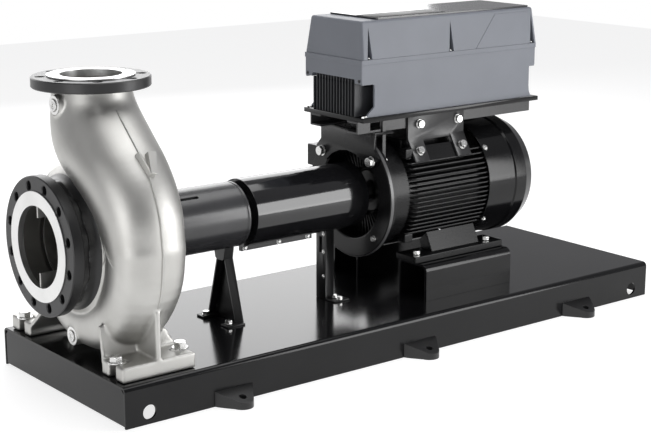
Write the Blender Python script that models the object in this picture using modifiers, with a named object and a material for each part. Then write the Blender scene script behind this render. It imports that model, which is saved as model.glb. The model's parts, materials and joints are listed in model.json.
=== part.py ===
# Long-coupled end-suction centrifugal pump on a folded steel base frame, with its motor and drive.
# Units are metres and +Z is up. The model stands on the floor, centred on its bounding box.
# Inside, pieces are placed from the pump datum: the point where the shaft axis crosses the
# centreline of the discharge nozzle. X runs from the suction flange towards the motor.

import bpy
import bmesh
from math import cos, pi, radians, sin, sqrt, tau
from mathutils import Matrix, Vector

# Clearance that touching pieces keep between their faces
GAP = 0.0003

# Step by which a piece fused to another is set in, so that their faces don't share a plane
SINK = 0.0006

# How far a cutter runs past the faces it cuts
OVERRUN = 0.020

# Pump sizes: suction nozzle 200, discharge nozzle 150, impeller 315
SUCTION_REACH = 0.160
DISCHARGE_HEIGHT = 0.400
SHAFT_ABOVE_BASE = 0.280
SUCTION_BORE_R = 0.100
DISCHARGE_BORE_R = 0.075
CASING_WALL = 0.009
CASING_BACK = 0.088
COVER_SEAT = CASING_BACK - SINK
COVER_R = 0.182
COVER_SPIGOT_R = 0.1675
COVER_BACK = 0.104
IMPELLER_R = 0.160

# Base frame
BASE_LENGTH = 1.800
BASE_WIDTH = 0.600
BASE_HEIGHT = 0.100
BASE_SHEET = 0.006
BASE_BACK_OF_SUCTION = 0.049

# Where the datum stands above the floor and along the whole machine
DATUM_Z = BASE_HEIGHT + SHAFT_ABOVE_BASE
TOTAL_LENGTH = BASE_BACK_OF_SUCTION + BASE_LENGTH
DATUM_X = SUCTION_REACH - TOTAL_LENGTH / 2

# Levels and ends measured from the datum
FLOOR = -DATUM_Z
DECK = -SHAFT_ABOVE_BASE
BASE_FRONT = -SUCTION_REACH + BASE_BACK_OF_SUCTION
BASE_REAR = BASE_FRONT + BASE_LENGTH
HALF_WIDTH = BASE_WIDTH / 2

# Shaft line
SHAFT_R = 0.024
SHAFT_BORE_R = 0.0246
BRACKET_R = 0.085
BRACKET_END = 0.402
BRACKET_NECK_R = 0.052
GUARD_R = 0.0895
GUARD_WALL = 0.003
GUARD_START = 0.419
PUMP_SHAFT_END = 0.670
MOTOR_SHAFT_START = 0.680
MOTOR_SHAFT_END = 1.302

# Motor, a flange-and-foot machine with its shaft 180 mm above its feet
MOTOR_FACE = 0.790
MOTOR_FLANGE_R = 0.175
MOTOR_OPENING_R = 0.1225
MOTOR_FOOT_DROP = 0.180
MOTOR_BARREL_R = 0.142
MOTOR_FIN_R = 0.166
HOUSING_FRONT = 0.880
HOUSING_REAR = 1.180
FAN_COVER_FRONT = 1.160
FAN_COVER_REAR = 1.340
FAN_COVER_R = 0.1675
FAN_COVER_WALL = 0.003

# Drive box on top of the motor
DRIVE_FRONT = 0.732
DRIVE_REAR = 1.372
CHANNEL_FACE = 0.102
CHANNEL_BOTTOM = 0.184
PLATE_BOTTOM = 0.217
PLATE_TOP = 0.229
DRIVE_SEAM_LOW = 0.319
DRIVE_SEAM_HIGH = 0.382
DRIVE_TOP = 0.482
HEAT_SINK_FLANK = 0.1015
SKIRT_INSIDE = 0.114


def clear_scene():
    for item in list(bpy.data.objects):
        bpy.data.objects.remove(item, do_unlink=True)


def new_collection(name):
    group = bpy.data.collections.new(name)
    bpy.context.scene.collection.children.link(group)
    return group


def new_empty(name, location, parent=None):
    empty = bpy.data.objects.new(name, None)
    empty.location = location
    empty.parent = parent
    PARTS.objects.link(empty)
    return empty


clear_scene()
PARTS = new_collection("centrifugal_pump")
CUTTERS = new_collection("cutters")
DATUM = new_empty("pump_datum", (DATUM_X, 0, DATUM_Z))
ROTOR_AXIS = new_empty("rotor_axis", (0, 0, 0), DATUM)


# Materials

def material(name, colour, roughness, metallic):
    made = bpy.data.materials.new(name)
    made.use_nodes = True
    shader = made.node_tree.nodes["Principled BSDF"]
    shader.inputs["Base Color"].default_value = (*colour, 1)
    shader.inputs["Roughness"].default_value = roughness
    shader.inputs["Metallic"].default_value = metallic
    return made


STAINLESS = material("satin_stainless", (0.60, 0.59, 0.57), 0.38, 1.0)
BLACK_CASTING = material("black_painted_casting", (0.022, 0.022, 0.024), 0.42, 0.0)
BLACK_SHEET = material("black_powder_coated_sheet", (0.012, 0.012, 0.013), 0.22, 0.0)
GREY_CASTING = material("dark_grey_casting", (0.06, 0.06, 0.065), 0.35, 0.0)
DRIVE_GREY = material("blue_grey_paint", (0.25, 0.27, 0.30), 0.40, 0.0)
SHAFT_STEEL = material("turned_steel", (0.55, 0.55, 0.56), 0.28, 1.0)
PANEL_BLACK = material("black_panel", (0.015, 0.015, 0.017), 0.25, 0.0)


# Modelling helpers

def add_object(name, mesh, finish, group=None, parent=None):
    item = bpy.data.objects.new(name, mesh)
    item.parent = parent or DATUM
    (group or PARTS).objects.link(item)
    if finish:
        mesh.materials.append(finish)
    return item


def from_bmesh(name, shape):
    bmesh.ops.recalc_face_normals(shape, faces=shape.faces)
    mesh = bpy.data.meshes.new(name)
    shape.to_mesh(mesh)
    shape.free()
    return mesh


def block(name, corner, opposite, finish, **place):
    """A box between two opposite corners, given in any order."""
    low = Vector(map(min, corner, opposite))
    high = Vector(map(max, corner, opposite))
    shape = bmesh.new()
    bmesh.ops.create_cube(shape, size=1)
    stretch = Matrix.Diagonal((*(high - low), 1))
    to_middle = Matrix.Translation((low + high) / 2)
    bmesh.ops.transform(shape, matrix=to_middle @ stretch, verts=shape.verts)
    return add_object(name, from_bmesh(name, shape), finish, **place)


def bevel(item, width, segments=2):
    edge = item.modifiers.new("rounded_edges", "BEVEL")
    edge.width = width
    edge.segments = segments
    edge.limit_method = "ANGLE"
    edge.angle_limit = radians(40)
    return item


def turned(name, profile, finish, steps=32, **place):
    """A closed (radius, x) profile, from the motor side down its outer side, turned about X."""
    mesh = bpy.data.meshes.new(name)
    points = [(radius, 0, along) for radius, along in profile]
    on_axis = profile[0][0] == 0
    last = len(points) - 1
    edges = [(i, i + 1) for i in range(last)]
    if not on_axis:
        edges.append((last, 0))
    mesh.from_pydata(points, edges, [])
    item = add_object(name, mesh, finish, **place)
    item.rotation_euler = (0, pi / 2, 0)
    spin = item.modifiers.new("turned", "SCREW")
    spin.steps = steps
    spin.render_steps = steps
    spin.use_merge_vertices = True
    spin.merge_threshold = 0.0001
    spin.use_smooth_shade = False
    return item


def ring_points(radius, count, centre=(0, 0), start=0.0):
    return [(centre[0] + radius * cos(start + tau * i / count),
             centre[1] + radius * sin(start + tau * i / count)) for i in range(count)]


PLANES = {
    "x": Matrix(((0, 0, 1), (1, 0, 0), (0, 1, 0))),
    "y": Matrix(((1, 0, 0), (0, 0, -1), (0, 1, 0))),
    "z": Matrix.Identity(3),
}


def plate(name, loops, normal, start, end, finish, **place):
    """Flat outline with holes, extruded along one axis from start to end."""
    curve = bpy.data.curves.new(name + "_outline", "CURVE")
    curve.dimensions = "2D"
    curve.fill_mode = "BOTH"
    curve.extrude = abs(end - start) / 2
    for loop in loops:
        line = curve.splines.new("POLY")
        line.points.add(len(loop) - 1)
        for point, (u, v) in zip(line.points, loop):
            point.co = (u, v, 0, 1)
        line.use_cyclic_u = True
    guide = bpy.data.objects.new(name + "_outline", curve)
    PARTS.objects.link(guide)
    turn = PLANES[normal].to_4x4()
    middle = (start + end) / 2
    shift = {"x": (middle, 0, 0), "y": (0, middle, 0), "z": (0, 0, middle)}[normal]
    guide.matrix_world = Matrix.Translation(shift) @ turn
    bpy.context.view_layer.update()
    flat = guide.evaluated_get(bpy.context.evaluated_depsgraph_get())
    mesh = bpy.data.meshes.new_from_object(flat)
    shape = bmesh.new()
    shape.from_mesh(mesh)
    bmesh.ops.remove_doubles(shape, verts=shape.verts, dist=0.00001)
    bmesh.ops.transform(shape, matrix=guide.matrix_world, verts=shape.verts)
    bpy.data.objects.remove(guide)
    bpy.data.meshes.remove(mesh)
    return add_object(name, from_bmesh(name, shape), finish, **place)


def loft(name, rings, finish, **place):
    """Closed skin through rings of equal point count, with flat ends."""
    shape = bmesh.new()
    layers = [[shape.verts.new(point) for point in ring] for ring in rings]
    for near, far in zip(layers, layers[1:]):
        count = len(near)
        for i in range(count):
            shape.faces.new((near[i], near[(i + 1) % count], far[(i + 1) % count], far[i]))
    shape.faces.new(layers[0])
    shape.faces.new(layers[-1])
    return add_object(name, from_bmesh(name, shape), finish, **place)


def boolean(item, tool, operation):
    step = item.modifiers.new(operation.lower() + "_" + tool.name, "BOOLEAN")
    step.operation = operation
    step.object = tool
    tool.hide_render = True
    tool.display_type = "WIRE"
    return item


def cut(item, tool):
    return boolean(item, tool, "DIFFERENCE")


def join(item, tool):
    return boolean(item, tool, "UNION")


def rod(name, centre, radius, start, end, normal, sides=16, finish=None, **place):
    """A plain round rod along one axis, used for shafts, plugs and drilled holes."""
    outline = ring_points(radius, sides, centre)
    return plate(name, [outline], normal, start, end, finish, **place)


def arc(centre, radius, first, last, count):
    """Points along a circle between two angles in degrees."""
    turns = [radians(first + (last - first) * i / (count - 1)) for i in range(count)]
    return [(centre[0] + radius * cos(turn), centre[1] + radius * sin(turn)) for turn in turns]


def mirrored(points, side):
    """The outline on the near side (-1) or the far side (+1)."""
    return [(side * across, up) for across, up in points]


# Base frame: one folded sheet for the deck and long sides, closed by end panels

def base_deck():
    bend = 0.013
    right = [(HALF_WIDTH, FLOOR)] + arc((HALF_WIDTH - bend, DECK - bend), bend, 0, 90, 4)
    inner_half = HALF_WIDTH - BASE_SHEET
    inner_top = DECK - BASE_SHEET
    section = right + mirrored(right, -1)[::-1]
    section += [(-inner_half, FLOOR), (-inner_half, inner_top), (inner_half, inner_top), (inner_half, FLOOR)]
    deck = plate("base_deck", [section], "x", BASE_FRONT, BASE_REAR, BLACK_SHEET)
    lift_r = 0.018
    lift_in = 0.065
    lift_z = FLOOR + 0.029
    for x in (BASE_FRONT + lift_in, BASE_REAR - lift_in):
        drill = rod("lifting_hole", (x, lift_z), lift_r, -HALF_WIDTH - OVERRUN, HALF_WIDTH + OVERRUN, "y",
                    sides=20, group=CUTTERS)
        cut(deck, drill)
    return deck


def base_end_panels():
    half = HALF_WIDTH - BASE_SHEET - GAP
    top = DECK - BASE_SHEET - GAP
    lift = 0.004
    inset = 0.003
    for name, end, inward in (("base_front_panel", BASE_FRONT, 1), ("base_rear_panel", BASE_REAR, -1)):
        face = end + inward * inset
        block(name, (face, -half, FLOOR + lift), (face + inward * BASE_SHEET, half, top), BLACK_SHEET)


def anchor_tabs():
    """Cast lugs welded to the long sides, rounded in plan and sloping down to the nose."""
    half_root = 0.055
    reach = 0.064
    rise = 0.038
    nose_rise = 0.016
    nose_r = 0.027
    hole_r = 0.009
    hole_out = 0.038
    positions = {"front": 0.190, "middle": 0.787, "rear": 1.386}
    root = HALF_WIDTH + GAP
    nose = HALF_WIDTH + reach
    flank = [(half_root, root), (0.040, HALF_WIDTH + 0.025)]
    tip = arc((0, nose - nose_r), nose_r, 15, 90, 4)
    right = flank + tip
    plan = right + [(-x, y) for x, y in right[-2::-1]]
    slope = (rise - nose_rise) / reach
    wedge = [(HALF_WIDTH - OVERRUN, FLOOR + rise - SINK + slope * OVERRUN),
             (nose + OVERRUN, FLOOR + nose_rise - SINK - slope * OVERRUN),
             (nose + OVERRUN, FLOOR + rise + OVERRUN), (HALF_WIDTH - OVERRUN, FLOOR + rise + OVERRUN)]
    for side, edge in (("near", -1), ("far", 1)):
        for where, x in positions.items():
            outline = [(x + u, edge * v) for u, v in plan]
            hole = ring_points(hole_r, 12, (x, edge * (HALF_WIDTH + hole_out)), start=pi / 12)
            name = f"anchor_tab_{side}_{where}"
            tab = plate(name, [outline, hole], "z", FLOOR, FLOOR + rise, BLACK_SHEET)
            slope_cutter = plate(name + "_slope", [mirrored(wedge, edge)], "x", x - half_root - OVERRUN,
                                 x + half_root + OVERRUN, None, group=CUTTERS)
            cut(tab, slope_cutter)


# Volute casing: a cast spiral whose section grows from the tongue to the neck, with its suction
# nozzle, back opening and feet in one piece

# Polar angle in degrees from the top over the far side, outer radius, half thickness along the shaft
SCROLL = ((22, 0.203, 0.055), (50, 0.214, 0.058), (80, 0.226, 0.062), (110, 0.240, 0.066),
          (140, 0.254, 0.071), (170, 0.266, 0.076), (200, 0.278, 0.081), (225, 0.290, 0.086),
          (250, 0.299, 0.090), (270, 0.301, 0.093))
SCROLL_INNER_R = 0.150

# Threaded plugs on the suction side, centre (y, z) and the face (x) of the cast boss under each
PLUG_R = 0.0135
NECK_PLUG = (-0.014, 0.336)
NECK_BOSS_FACE = -0.1075
DRAIN_PLUG = (0.0, -0.236)
DRAIN_BOSS_FACE = -0.0765

# Outer and inner points (y, z) of the neck on its plane of symmetry, and its half thickness
NECK = (((-0.300, 0.040), (-0.140, 0.030), 0.095),
        ((-0.291, 0.105), (-0.115, 0.070), 0.100),
        ((-0.262, 0.170), (-0.075, 0.105), 0.106),
        ((-0.218, 0.228), (-0.022, 0.138), 0.112),
        ((-0.172, 0.272), (0.034, 0.172), 0.116),
        ((-0.135, 0.306), (0.070, 0.218), 0.114),
        ((-0.110, 0.332), (0.087, 0.272), 0.106),
        ((-0.097, 0.352), (0.0935, 0.328), 0.098),
        ((-0.0945, 0.3967), (0.0945, 0.3967), 0.0945))
RING_COUNT = 20


def casing_ring(outer, inner, half_thickness, wall, squareness):
    middle = (Vector(outer) + Vector(inner)) / 2
    outward = Vector(outer) - Vector(inner)
    half_height = outward.length / 2 - wall
    outward.normalize()
    half_thickness -= wall
    points = []
    for i in range(RING_COUNT):
        turn = tau * i / RING_COUNT
        along = abs(cos(turn)) ** (2 / squareness) * (1 if cos(turn) > 0 else -1)
        out = abs(sin(turn)) ** (2 / squareness) * (1 if sin(turn) > 0 else -1)
        spot = middle + outward * (out * half_height)
        points.append((along * half_thickness, spot.x, spot.y))
    return points


def casing_rings(wall):
    rings = []
    for degrees_round, outer_r, half_thickness in SCROLL:
        turn = radians(degrees_round)
        direction = Vector((sin(turn), cos(turn)))
        rings.append(casing_ring(direction * outer_r, direction * SCROLL_INNER_R, half_thickness, wall, 2.4))
    for step, (outer, inner, half_thickness) in enumerate(NECK):
        squareness = 2.4 - 0.4 * min(1, (step + 1) / 5)
        rings.append(casing_ring(outer, inner, half_thickness, wall, squareness))
    return rings


def raised(ring, rise):
    return [(x, y, z + rise) for x, y, z in ring]


FOOT_HALF_LENGTH = 0.100
FOOT_THICK = 0.038

# Foot and top (y, z) of the web on each side: the spiral is narrower on the far side
FOOT_WEBS = {-1: ((-0.183, -0.262), (-0.169, -0.165)), 1: ((0.184, -0.256), (0.104, -0.190))}


def casing_foot(side):
    """Foot slab with open slots at both ends."""
    outer = 0.275
    inner = 0.178
    slot_y = 0.225
    slot_r = 0.014
    slot_depth = 0.025
    mouth_r = slot_r + 0.001
    half = FOOT_HALF_LENGTH
    slot = [(half - slot_depth - (x - half), y) for x, y in arc((half, slot_y), slot_r, -90, 90, 5)]
    right = [(half, inner), (half, slot_y - mouth_r)] + slot + [(half, slot_y + mouth_r), (half, outer)]
    outline = right + [(-x, y) for x, y in right[::-1]]
    outline = [(x, side * y) for x, y in outline]
    return plate("casing_foot", [outline], "z", DECK + GAP, DECK + FOOT_THICK, None, group=CUTTERS)


def casing_web(side):
    """Web from the foot up to the spiral, sloping away towards the motor."""
    half_thick = 0.0055
    foot, top = (Vector(point) for point in FOOT_WEBS[side])
    across = (top - foot).orthogonal().normalized() * half_thick
    rings = []
    for x, rise in ((-FOOT_HALF_LENGTH + SINK, 1), (0.055, 1), (FOOT_HALF_LENGTH - SINK, 0.25)):
        crest = foot.lerp(top, rise)
        corners = (foot - across, foot + across, crest + across, crest - across)
        rings.append([(x, *corner) for corner in corners])
    return loft("casing_web", rings, None, group=CUTTERS)


def casing_rib(side):
    """Upright rib across the middle of the foot, outside the web."""
    half_thick = 0.007
    outer = 0.275 - SINK
    high = {-1: (outer, -0.126), 1: (0.215, -0.120)}[side]
    outline = [(0.150, DECK + OVERRUN), (outer, DECK + OVERRUN), (outer, DECK + FOOT_THICK + 0.004), high,
               (0.150, high[1])]
    return plate("casing_rib", [mirrored(outline, side)], "x", -half_thick, half_thick, None, group=CUTTERS)


def volute_casing():
    casing = loft("volute_casing", casing_rings(0), STAINLESS)
    neck_ring = -0.157
    drum = turned("casing_drum", [(0.000, CASING_BACK), (0.186, CASING_BACK), (0.192, 0.060),
                                  (0.196, 0.030), (0.196, -0.030), (0.188, -0.056), (0.165, -0.080),
                                  (0.140, -0.094), (0.1215, -0.112), (0.1115, -0.128),
                                  (0.1115, neck_ring), (0.134, neck_ring), (0.134, -SUCTION_REACH),
                                  (0.000, -SUCTION_REACH)], None, 40, group=CUTTERS)
    join(casing, drum)
    collar = rod("discharge_collar", (0, 0), 0.1055, DISCHARGE_HEIGHT - 0.0036, DISCHARGE_HEIGHT, "z",
                 sides=32, group=CUTTERS)
    join(casing, collar)
    for side in (-1, 1):
        for make in (casing_foot, casing_web, casing_rib):
            join(casing, make(side))
    for centre, face in ((NECK_PLUG, NECK_BOSS_FACE), (DRAIN_PLUG, DRAIN_BOSS_FACE)):
        join(casing, rod("plug_boss", centre, PLUG_R + 0.004, face, -0.060, "x", sides=18, group=CUTTERS))
    passage_rings = casing_rings(CASING_WALL)
    shrink = DISCHARGE_BORE_R / (0.0945 - CASING_WALL)
    neck_top = [(shrink * x, shrink * y, DISCHARGE_HEIGHT - 0.020) for x, y, z in passage_rings[-1]]
    passage_rings = passage_rings[1:-1] + [neck_top, raised(neck_top, 0.04)]
    passage = loft("casing_passage", passage_rings, None, group=CUTTERS)
    recess_r = COVER_R + 0.001
    spigot_r = COVER_SPIGOT_R + 0.0005
    outside = -SUCTION_REACH - OVERRUN
    chamber = turned("casing_chamber", [(0, 0.130), (recess_r, 0.130), (recess_r, COVER_SEAT),
                                        (spigot_r, COVER_SEAT), (0.174, 0.050), (0.174, -0.047),
                                        (0.112, -0.047), (0.098, -0.075), (SUCTION_BORE_R, -0.110),
                                        (SUCTION_BORE_R, outside), (0, outside)], None, 40, group=CUTTERS)
    cut(casing, passage)
    cut(casing, chamber)
    return casing


def pipe_flange(name, normal, face, back, radius, bore, holes, pitch_r, hole_r, first_turn, sides):
    """Loose flange ring with its bolt holes straddling the centreline."""
    loops = [ring_points(radius, sides), ring_points(bore, 32, start=pi / 32)]
    for i in range(holes):
        turn = first_turn + tau * i / holes
        loops.append(ring_points(hole_r, 10, (pitch_r * cos(turn), pitch_r * sin(turn))))
    return plate(name, loops, normal, face, back, BLACK_CASTING)


def pump_flanges():
    collar_back = -0.157
    thick = 0.030
    pipe_flange("suction_flange", "x", collar_back + GAP, collar_back + thick,
                0.170, 0.1128, 12, 0.1475, 0.011, pi / 12, 48)
    under = DISCHARGE_HEIGHT - 0.0036
    pipe_flange("discharge_flange", "z", under - GAP, under - 0.026,
                0.1425, 0.0986, 8, 0.120, 0.011, pi / 8, 44)


def casing_plugs():
    head = 0.009
    plugs = (("neck_plug", NECK_PLUG, NECK_BOSS_FACE), ("drain_plug", DRAIN_PLUG, DRAIN_BOSS_FACE))
    for name, centre, face in plugs:
        rod(name, centre, PLUG_R, face - GAP - head, face - GAP, "x", finish=STAINLESS)


def casing_cover():
    seat = COVER_SEAT + GAP
    front = 0.052
    return turned("casing_cover", [(COVER_R, COVER_BACK), (COVER_R, seat), (COVER_SPIGOT_R, seat),
                                   (COVER_SPIGOT_R, front), (SHAFT_BORE_R, front),
                                   (SHAFT_BORE_R, COVER_BACK)], GREY_CASTING, 36)


# Rotor: impeller, shaft, coupling, motor shaft and fan turn together

def impeller():
    wheel = turned("impeller", [(0.0275, 0.046), (0.045, 0.046), (0.060, 0.040), (IMPELLER_R, 0.028),
                                (IMPELLER_R, 0.022), (0.070, 0.030), (0.040, 0.016), (0.034, -0.010),
                                (0.034, -0.018), (SHAFT_R + GAP, -0.018), (SHAFT_R + GAP, 0.046)],
                   STAINLESS, 36, parent=ROTOR_AXIS)
    shroud = turned("impeller_shroud", [(IMPELLER_R, -0.016), (IMPELLER_R, -0.022), (0.108, -0.040),
                                        (0.0995, -0.056), (0.0925, -0.056), (0.0925, -0.048),
                                        (0.104, -0.034)], None, 36, group=CUTTERS, parent=ROTOR_AXIS)
    join(wheel, shroud)
    blades = 6
    for i in range(blades):
        join(wheel, impeller_blade(i, blades))
    return wheel


def impeller_blade(index, blades):
    """One backward-curved blade, a thick arc from the eye to the rim."""
    thick = 0.005
    steps = 6
    inner_r = 0.062
    outer_r = IMPELLER_R - 0.001
    sweep = radians(95)
    near = []
    far = []
    for i in range(steps + 1):
        part = i / steps
        radius = inner_r + (outer_r - inner_r) * part
        turn = tau * index / blades - sweep * part
        half = thick / 2 / radius
        near.append((radius * cos(turn - half), radius * sin(turn - half)))
        far.append((radius * cos(turn + half), radius * sin(turn + half)))
    return plate(f"impeller_blade_{index}", [near + far[::-1]], "x", -0.033, 0.026, None,
                 group=CUTTERS, parent=ROTOR_AXIS)


def rotor():
    impeller()
    rod("impeller_nut", (0, 0), 0.026, -0.050, -0.018 - GAP, "x", sides=6, finish=STAINLESS,
        parent=ROTOR_AXIS)
    rod("pump_shaft", (0, 0), SHAFT_R, -0.018, PUMP_SHAFT_END, "x", sides=24, finish=SHAFT_STEEL,
        parent=ROTOR_AXIS)
    turned("shaft_coupling", [(SHAFT_R + GAP, 0.735), (0.038, 0.735), (0.038, 0.697), (0.068, 0.697),
                              (0.068, 0.653), (0.038, 0.653), (0.038, 0.615), (SHAFT_R + GAP, 0.615)],
           GREY_CASTING, 24, parent=ROTOR_AXIS)
    rod("motor_shaft", (0, 0), SHAFT_R, MOTOR_SHAFT_START, MOTOR_SHAFT_END, "x", sides=24,
        finish=SHAFT_STEEL, parent=ROTOR_AXIS)
    motor_fan()


def motor_fan():
    rear = MOTOR_SHAFT_END
    front = rear - 0.056
    hub_r = 0.045
    disc_r = 0.122
    fan = turned("motor_fan", [(SHAFT_R + GAP, rear), (hub_r, rear), (hub_r, front + 0.019),
                               (disc_r, front + 0.006), (disc_r, front), (hub_r, front),
                               (SHAFT_R + GAP, front)], PANEL_BLACK, 24, parent=ROTOR_AXIS)
    blades = 9
    half_thick = 0.0015
    for i in range(blades):
        blade = block(f"fan_blade_{i}", (front + 0.002, 0.038, -half_thick),
                      (rear - 0.004, 0.138, half_thick), None, group=CUTTERS, parent=ROTOR_AXIS)
        blade.rotation_euler = (tau * i / blades, 0, 0)
        join(fan, blade)
    return fan


# Bearing bracket and its leg

def bearing_bracket():
    nose = GUARD_START + GUARD_WALL
    flange_r = 0.132
    seat = COVER_BACK + GAP
    return turned("bearing_bracket", [(SHAFT_BORE_R, nose), (BRACKET_NECK_R, nose),
                                      (BRACKET_NECK_R, BRACKET_END), (BRACKET_R, BRACKET_END),
                                      (BRACKET_R, 0.185), (0.100, 0.160), (flange_r, 0.135),
                                      (flange_r, seat), (SHAFT_BORE_R, seat)], GREY_CASTING, 36)


def bracket_leg():
    """Leg folded from sheet: a face that widens downwards, a rib along each side and two tabs."""
    face = 0.382
    sheet = 0.005
    back = face + sheet
    fold = 0.020
    low = DECK + GAP
    half_top = 0.0255
    half_waist = 0.0195
    waist = -0.112
    half_foot = 0.066
    tab_width = 0.032
    tab_reach = 0.050
    right = [(half_foot, low), (half_waist, waist), (half_top, -0.078)]
    outline = right + mirrored(right, -1)[::-1]
    leg = plate("bracket_leg", [outline], "x", face, back, BLACK_SHEET)
    for side in (-1, 1):
        tab = block("leg_tab", (face - tab_reach, side * (half_foot + 0.006 - tab_width), low),
                    (back - SINK, side * (half_foot + 0.006), low + sheet), None, group=CUTTERS)
        join(leg, tab)
        edge = [(half_foot - SINK, low + SINK), (half_waist - SINK, waist), (half_waist - sheet, waist),
                (half_foot - sheet, low + SINK)]
        flange = plate("leg_fold", [mirrored(edge, side)], "x", face - fold, back - SINK, None,
                       group=CUTTERS)
        join(leg, flange)
    seat = rod("leg_seat", (0, 0), BRACKET_R + GAP, face - OVERRUN, back + OVERRUN, "x",
               sides=36, group=CUTTERS)
    cut(leg, seat)
    return leg


# Coupling guard: a rolled tube with screwed lips, held by a post

def coupling_guard():
    end = MOTOR_FACE - 0.004
    bore = GUARD_R - GUARD_WALL
    neck = BRACKET_NECK_R + GAP
    tube = turned("coupling_guard", [(GUARD_R, end), (GUARD_R, GUARD_START), (neck, GUARD_START),
                                     (neck, GUARD_START + GUARD_WALL), (bore, GUARD_START + GUARD_WALL),
                                     (bore, end)], BLACK_SHEET, 40)
    lip = 0.014
    half_lips = 0.006
    lips_end = 0.655
    lips = block("guard_lips", (GUARD_START + 0.004, -half_lips, -GUARD_R - lip),
                 (lips_end, half_lips, -bore - SINK), None, group=CUTTERS)
    join(tube, lips)
    return tube


def guard_post():
    face = 0.690
    half = 0.020
    sheet = 0.004
    wing = 0.030
    low = DECK + GAP
    slot_half = 0.006
    slot = [(-slot_half, -0.150), (slot_half, -0.150), (slot_half, -0.105), (-slot_half, -0.105)]
    high = -0.070
    outline = [(-half, low), (half, low), (half, high), (-half, high)]
    post = plate("guard_post", [outline, slot], "x", face, face + sheet, BLACK_SHEET)
    for side in (-1, 1):
        flange = block("post_wing", (face + SINK, side * (half - SINK), low + SINK),
                       (face + wing, side * (half - sheet), high - SINK), None, group=CUTTERS)
        join(post, flange)
    foot = block("post_foot", (face + SINK * 2, -0.062, low), (face + 0.050, half + SINK, low + sheet),
                 None, group=CUTTERS)
    join(post, foot)
    seat = rod("post_seat", (0, 0), GUARD_R + GAP, face - OVERRUN, face + wing + OVERRUN, "x",
               sides=40, group=CUTTERS)
    cut(post, seat)
    return post


# Motor

def motor_flange():
    """Flange ring and drive-end shield in one casting, with a square lug on its far side."""
    rear = HOUSING_FRONT
    flange = turned("motor_flange", [(0.130, rear), (0.150, rear), (0.152, 0.815), (MOTOR_FLANGE_R, 0.812),
                                     (MOTOR_FLANGE_R, MOTOR_FACE), (MOTOR_OPENING_R, MOTOR_FACE),
                                     (MOTOR_OPENING_R, 0.855), (SHAFT_BORE_R, 0.862), (SHAFT_BORE_R, rear)],
                    BLACK_CASTING, 44)
    lug = block("flange_lug", (MOTOR_FACE + SINK, 0.138, 0.052), (0.868, 0.190, 0.112), None, group=CUTTERS)
    join(flange, lug)
    return flange


def fin_reach(z, half_fin, radius):
    """How far a flat fin at height z reaches out before its corner meets the radius."""
    return sqrt(radius ** 2 - (abs(z) + half_fin) ** 2)


def motor_fins(barrel):
    """Flat cooling fins through the frame, stepped in where the fan cover sits over them."""
    count = 17
    pitch = 0.013
    half_fin = 0.0021
    front = HOUSING_FRONT + 0.006
    step = FAN_COVER_FRONT - 0.010
    rear = FAN_COVER_FRONT + 0.012
    under_cover = FAN_COVER_R - FAN_COVER_WALL - GAP * 2
    for index in range(count):
        z = (index - (count - 1) / 2) * pitch
        wide = fin_reach(z, half_fin, MOTOR_FIN_R)
        narrow = fin_reach(z, half_fin, under_cover)
        near = [(front, -wide), (step, -wide), (step, -narrow), (rear, -narrow)]
        outline = near + [(x, -y) for x, y in near[::-1]]
        fin = plate(f"motor_fin_{index}", [outline], "z", z - half_fin, z + half_fin, None, group=CUTTERS)
        join(barrel, fin)


# Slope of the saddle legs and of the cast pads they are bolted to, as the direction (y, z) square to them
SADDLE_NORMAL = Vector((0.853, 0.522)).normalized()
SADDLE_ALONG = Vector((-SADDLE_NORMAL.y, SADDLE_NORMAL.x))
SADDLE_FACE = 0.1666
SADDLE_FRONT = 0.905
SADDLE_REAR = 1.110


def motor_housing():
    front = HOUSING_FRONT + GAP
    barrel = turned("motor_housing", [(0, HOUSING_REAR), (MOTOR_BARREL_R, HOUSING_REAR),
                                      (MOTOR_BARREL_R, front), (0, front)], BLACK_CASTING, 40)
    motor_fins(barrel)
    top_pad = block("housing_top_pad", (SADDLE_FRONT, -0.080, 0.050), (SADDLE_REAR, 0.080, 0.148), None,
                    group=CUTTERS)
    join(barrel, top_pad)
    corners = ((0.120, 0.008), (SADDLE_FACE - GAP, 0.008), (SADDLE_FACE - GAP, 0.052), (0.120, 0.052))
    outline = [SADDLE_NORMAL * out + SADDLE_ALONG * up for out, up in corners]
    for side in (-1, 1):
        pad = plate("housing_side_pad", [mirrored(outline, side)], "x",
                    SADDLE_FRONT + 0.007, SADDLE_REAR - 0.006, None, group=CUTTERS)
        join(barrel, pad)
    bore = rod("housing_bore", (0, 0), SHAFT_BORE_R, front - OVERRUN, HOUSING_REAR + OVERRUN, "x", sides=32,
               group=CUTTERS)
    cut(barrel, bore)
    return barrel


def motor_feet():
    """Foot plate on each rail with a sloping web up to the frame."""
    low = -MOTOR_FOOT_DROP + GAP
    top = -MOTOR_FOOT_DROP + 0.019
    web = [(0.106, top - 0.005), (0.150, top - 0.005), (0.118, -0.100), (0.080, -0.100)]
    for side, name in ((-1, "near"), (1, "far")):
        foot = block(f"motor_foot_{name}", (0.882, side * 0.092, low), (1.210, side * 0.172, top),
                     BLACK_CASTING)
        riser = plate("motor_foot_web", [mirrored(web, side)], "x", 0.962, 1.142, None, group=CUTTERS)
        join(foot, riser)
        seat = rod("motor_foot_seat", (0, 0), MOTOR_FIN_R + 0.0008, 0.80, 1.30, "x", sides=40, group=CUTTERS)
        cut(foot, seat)


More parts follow.
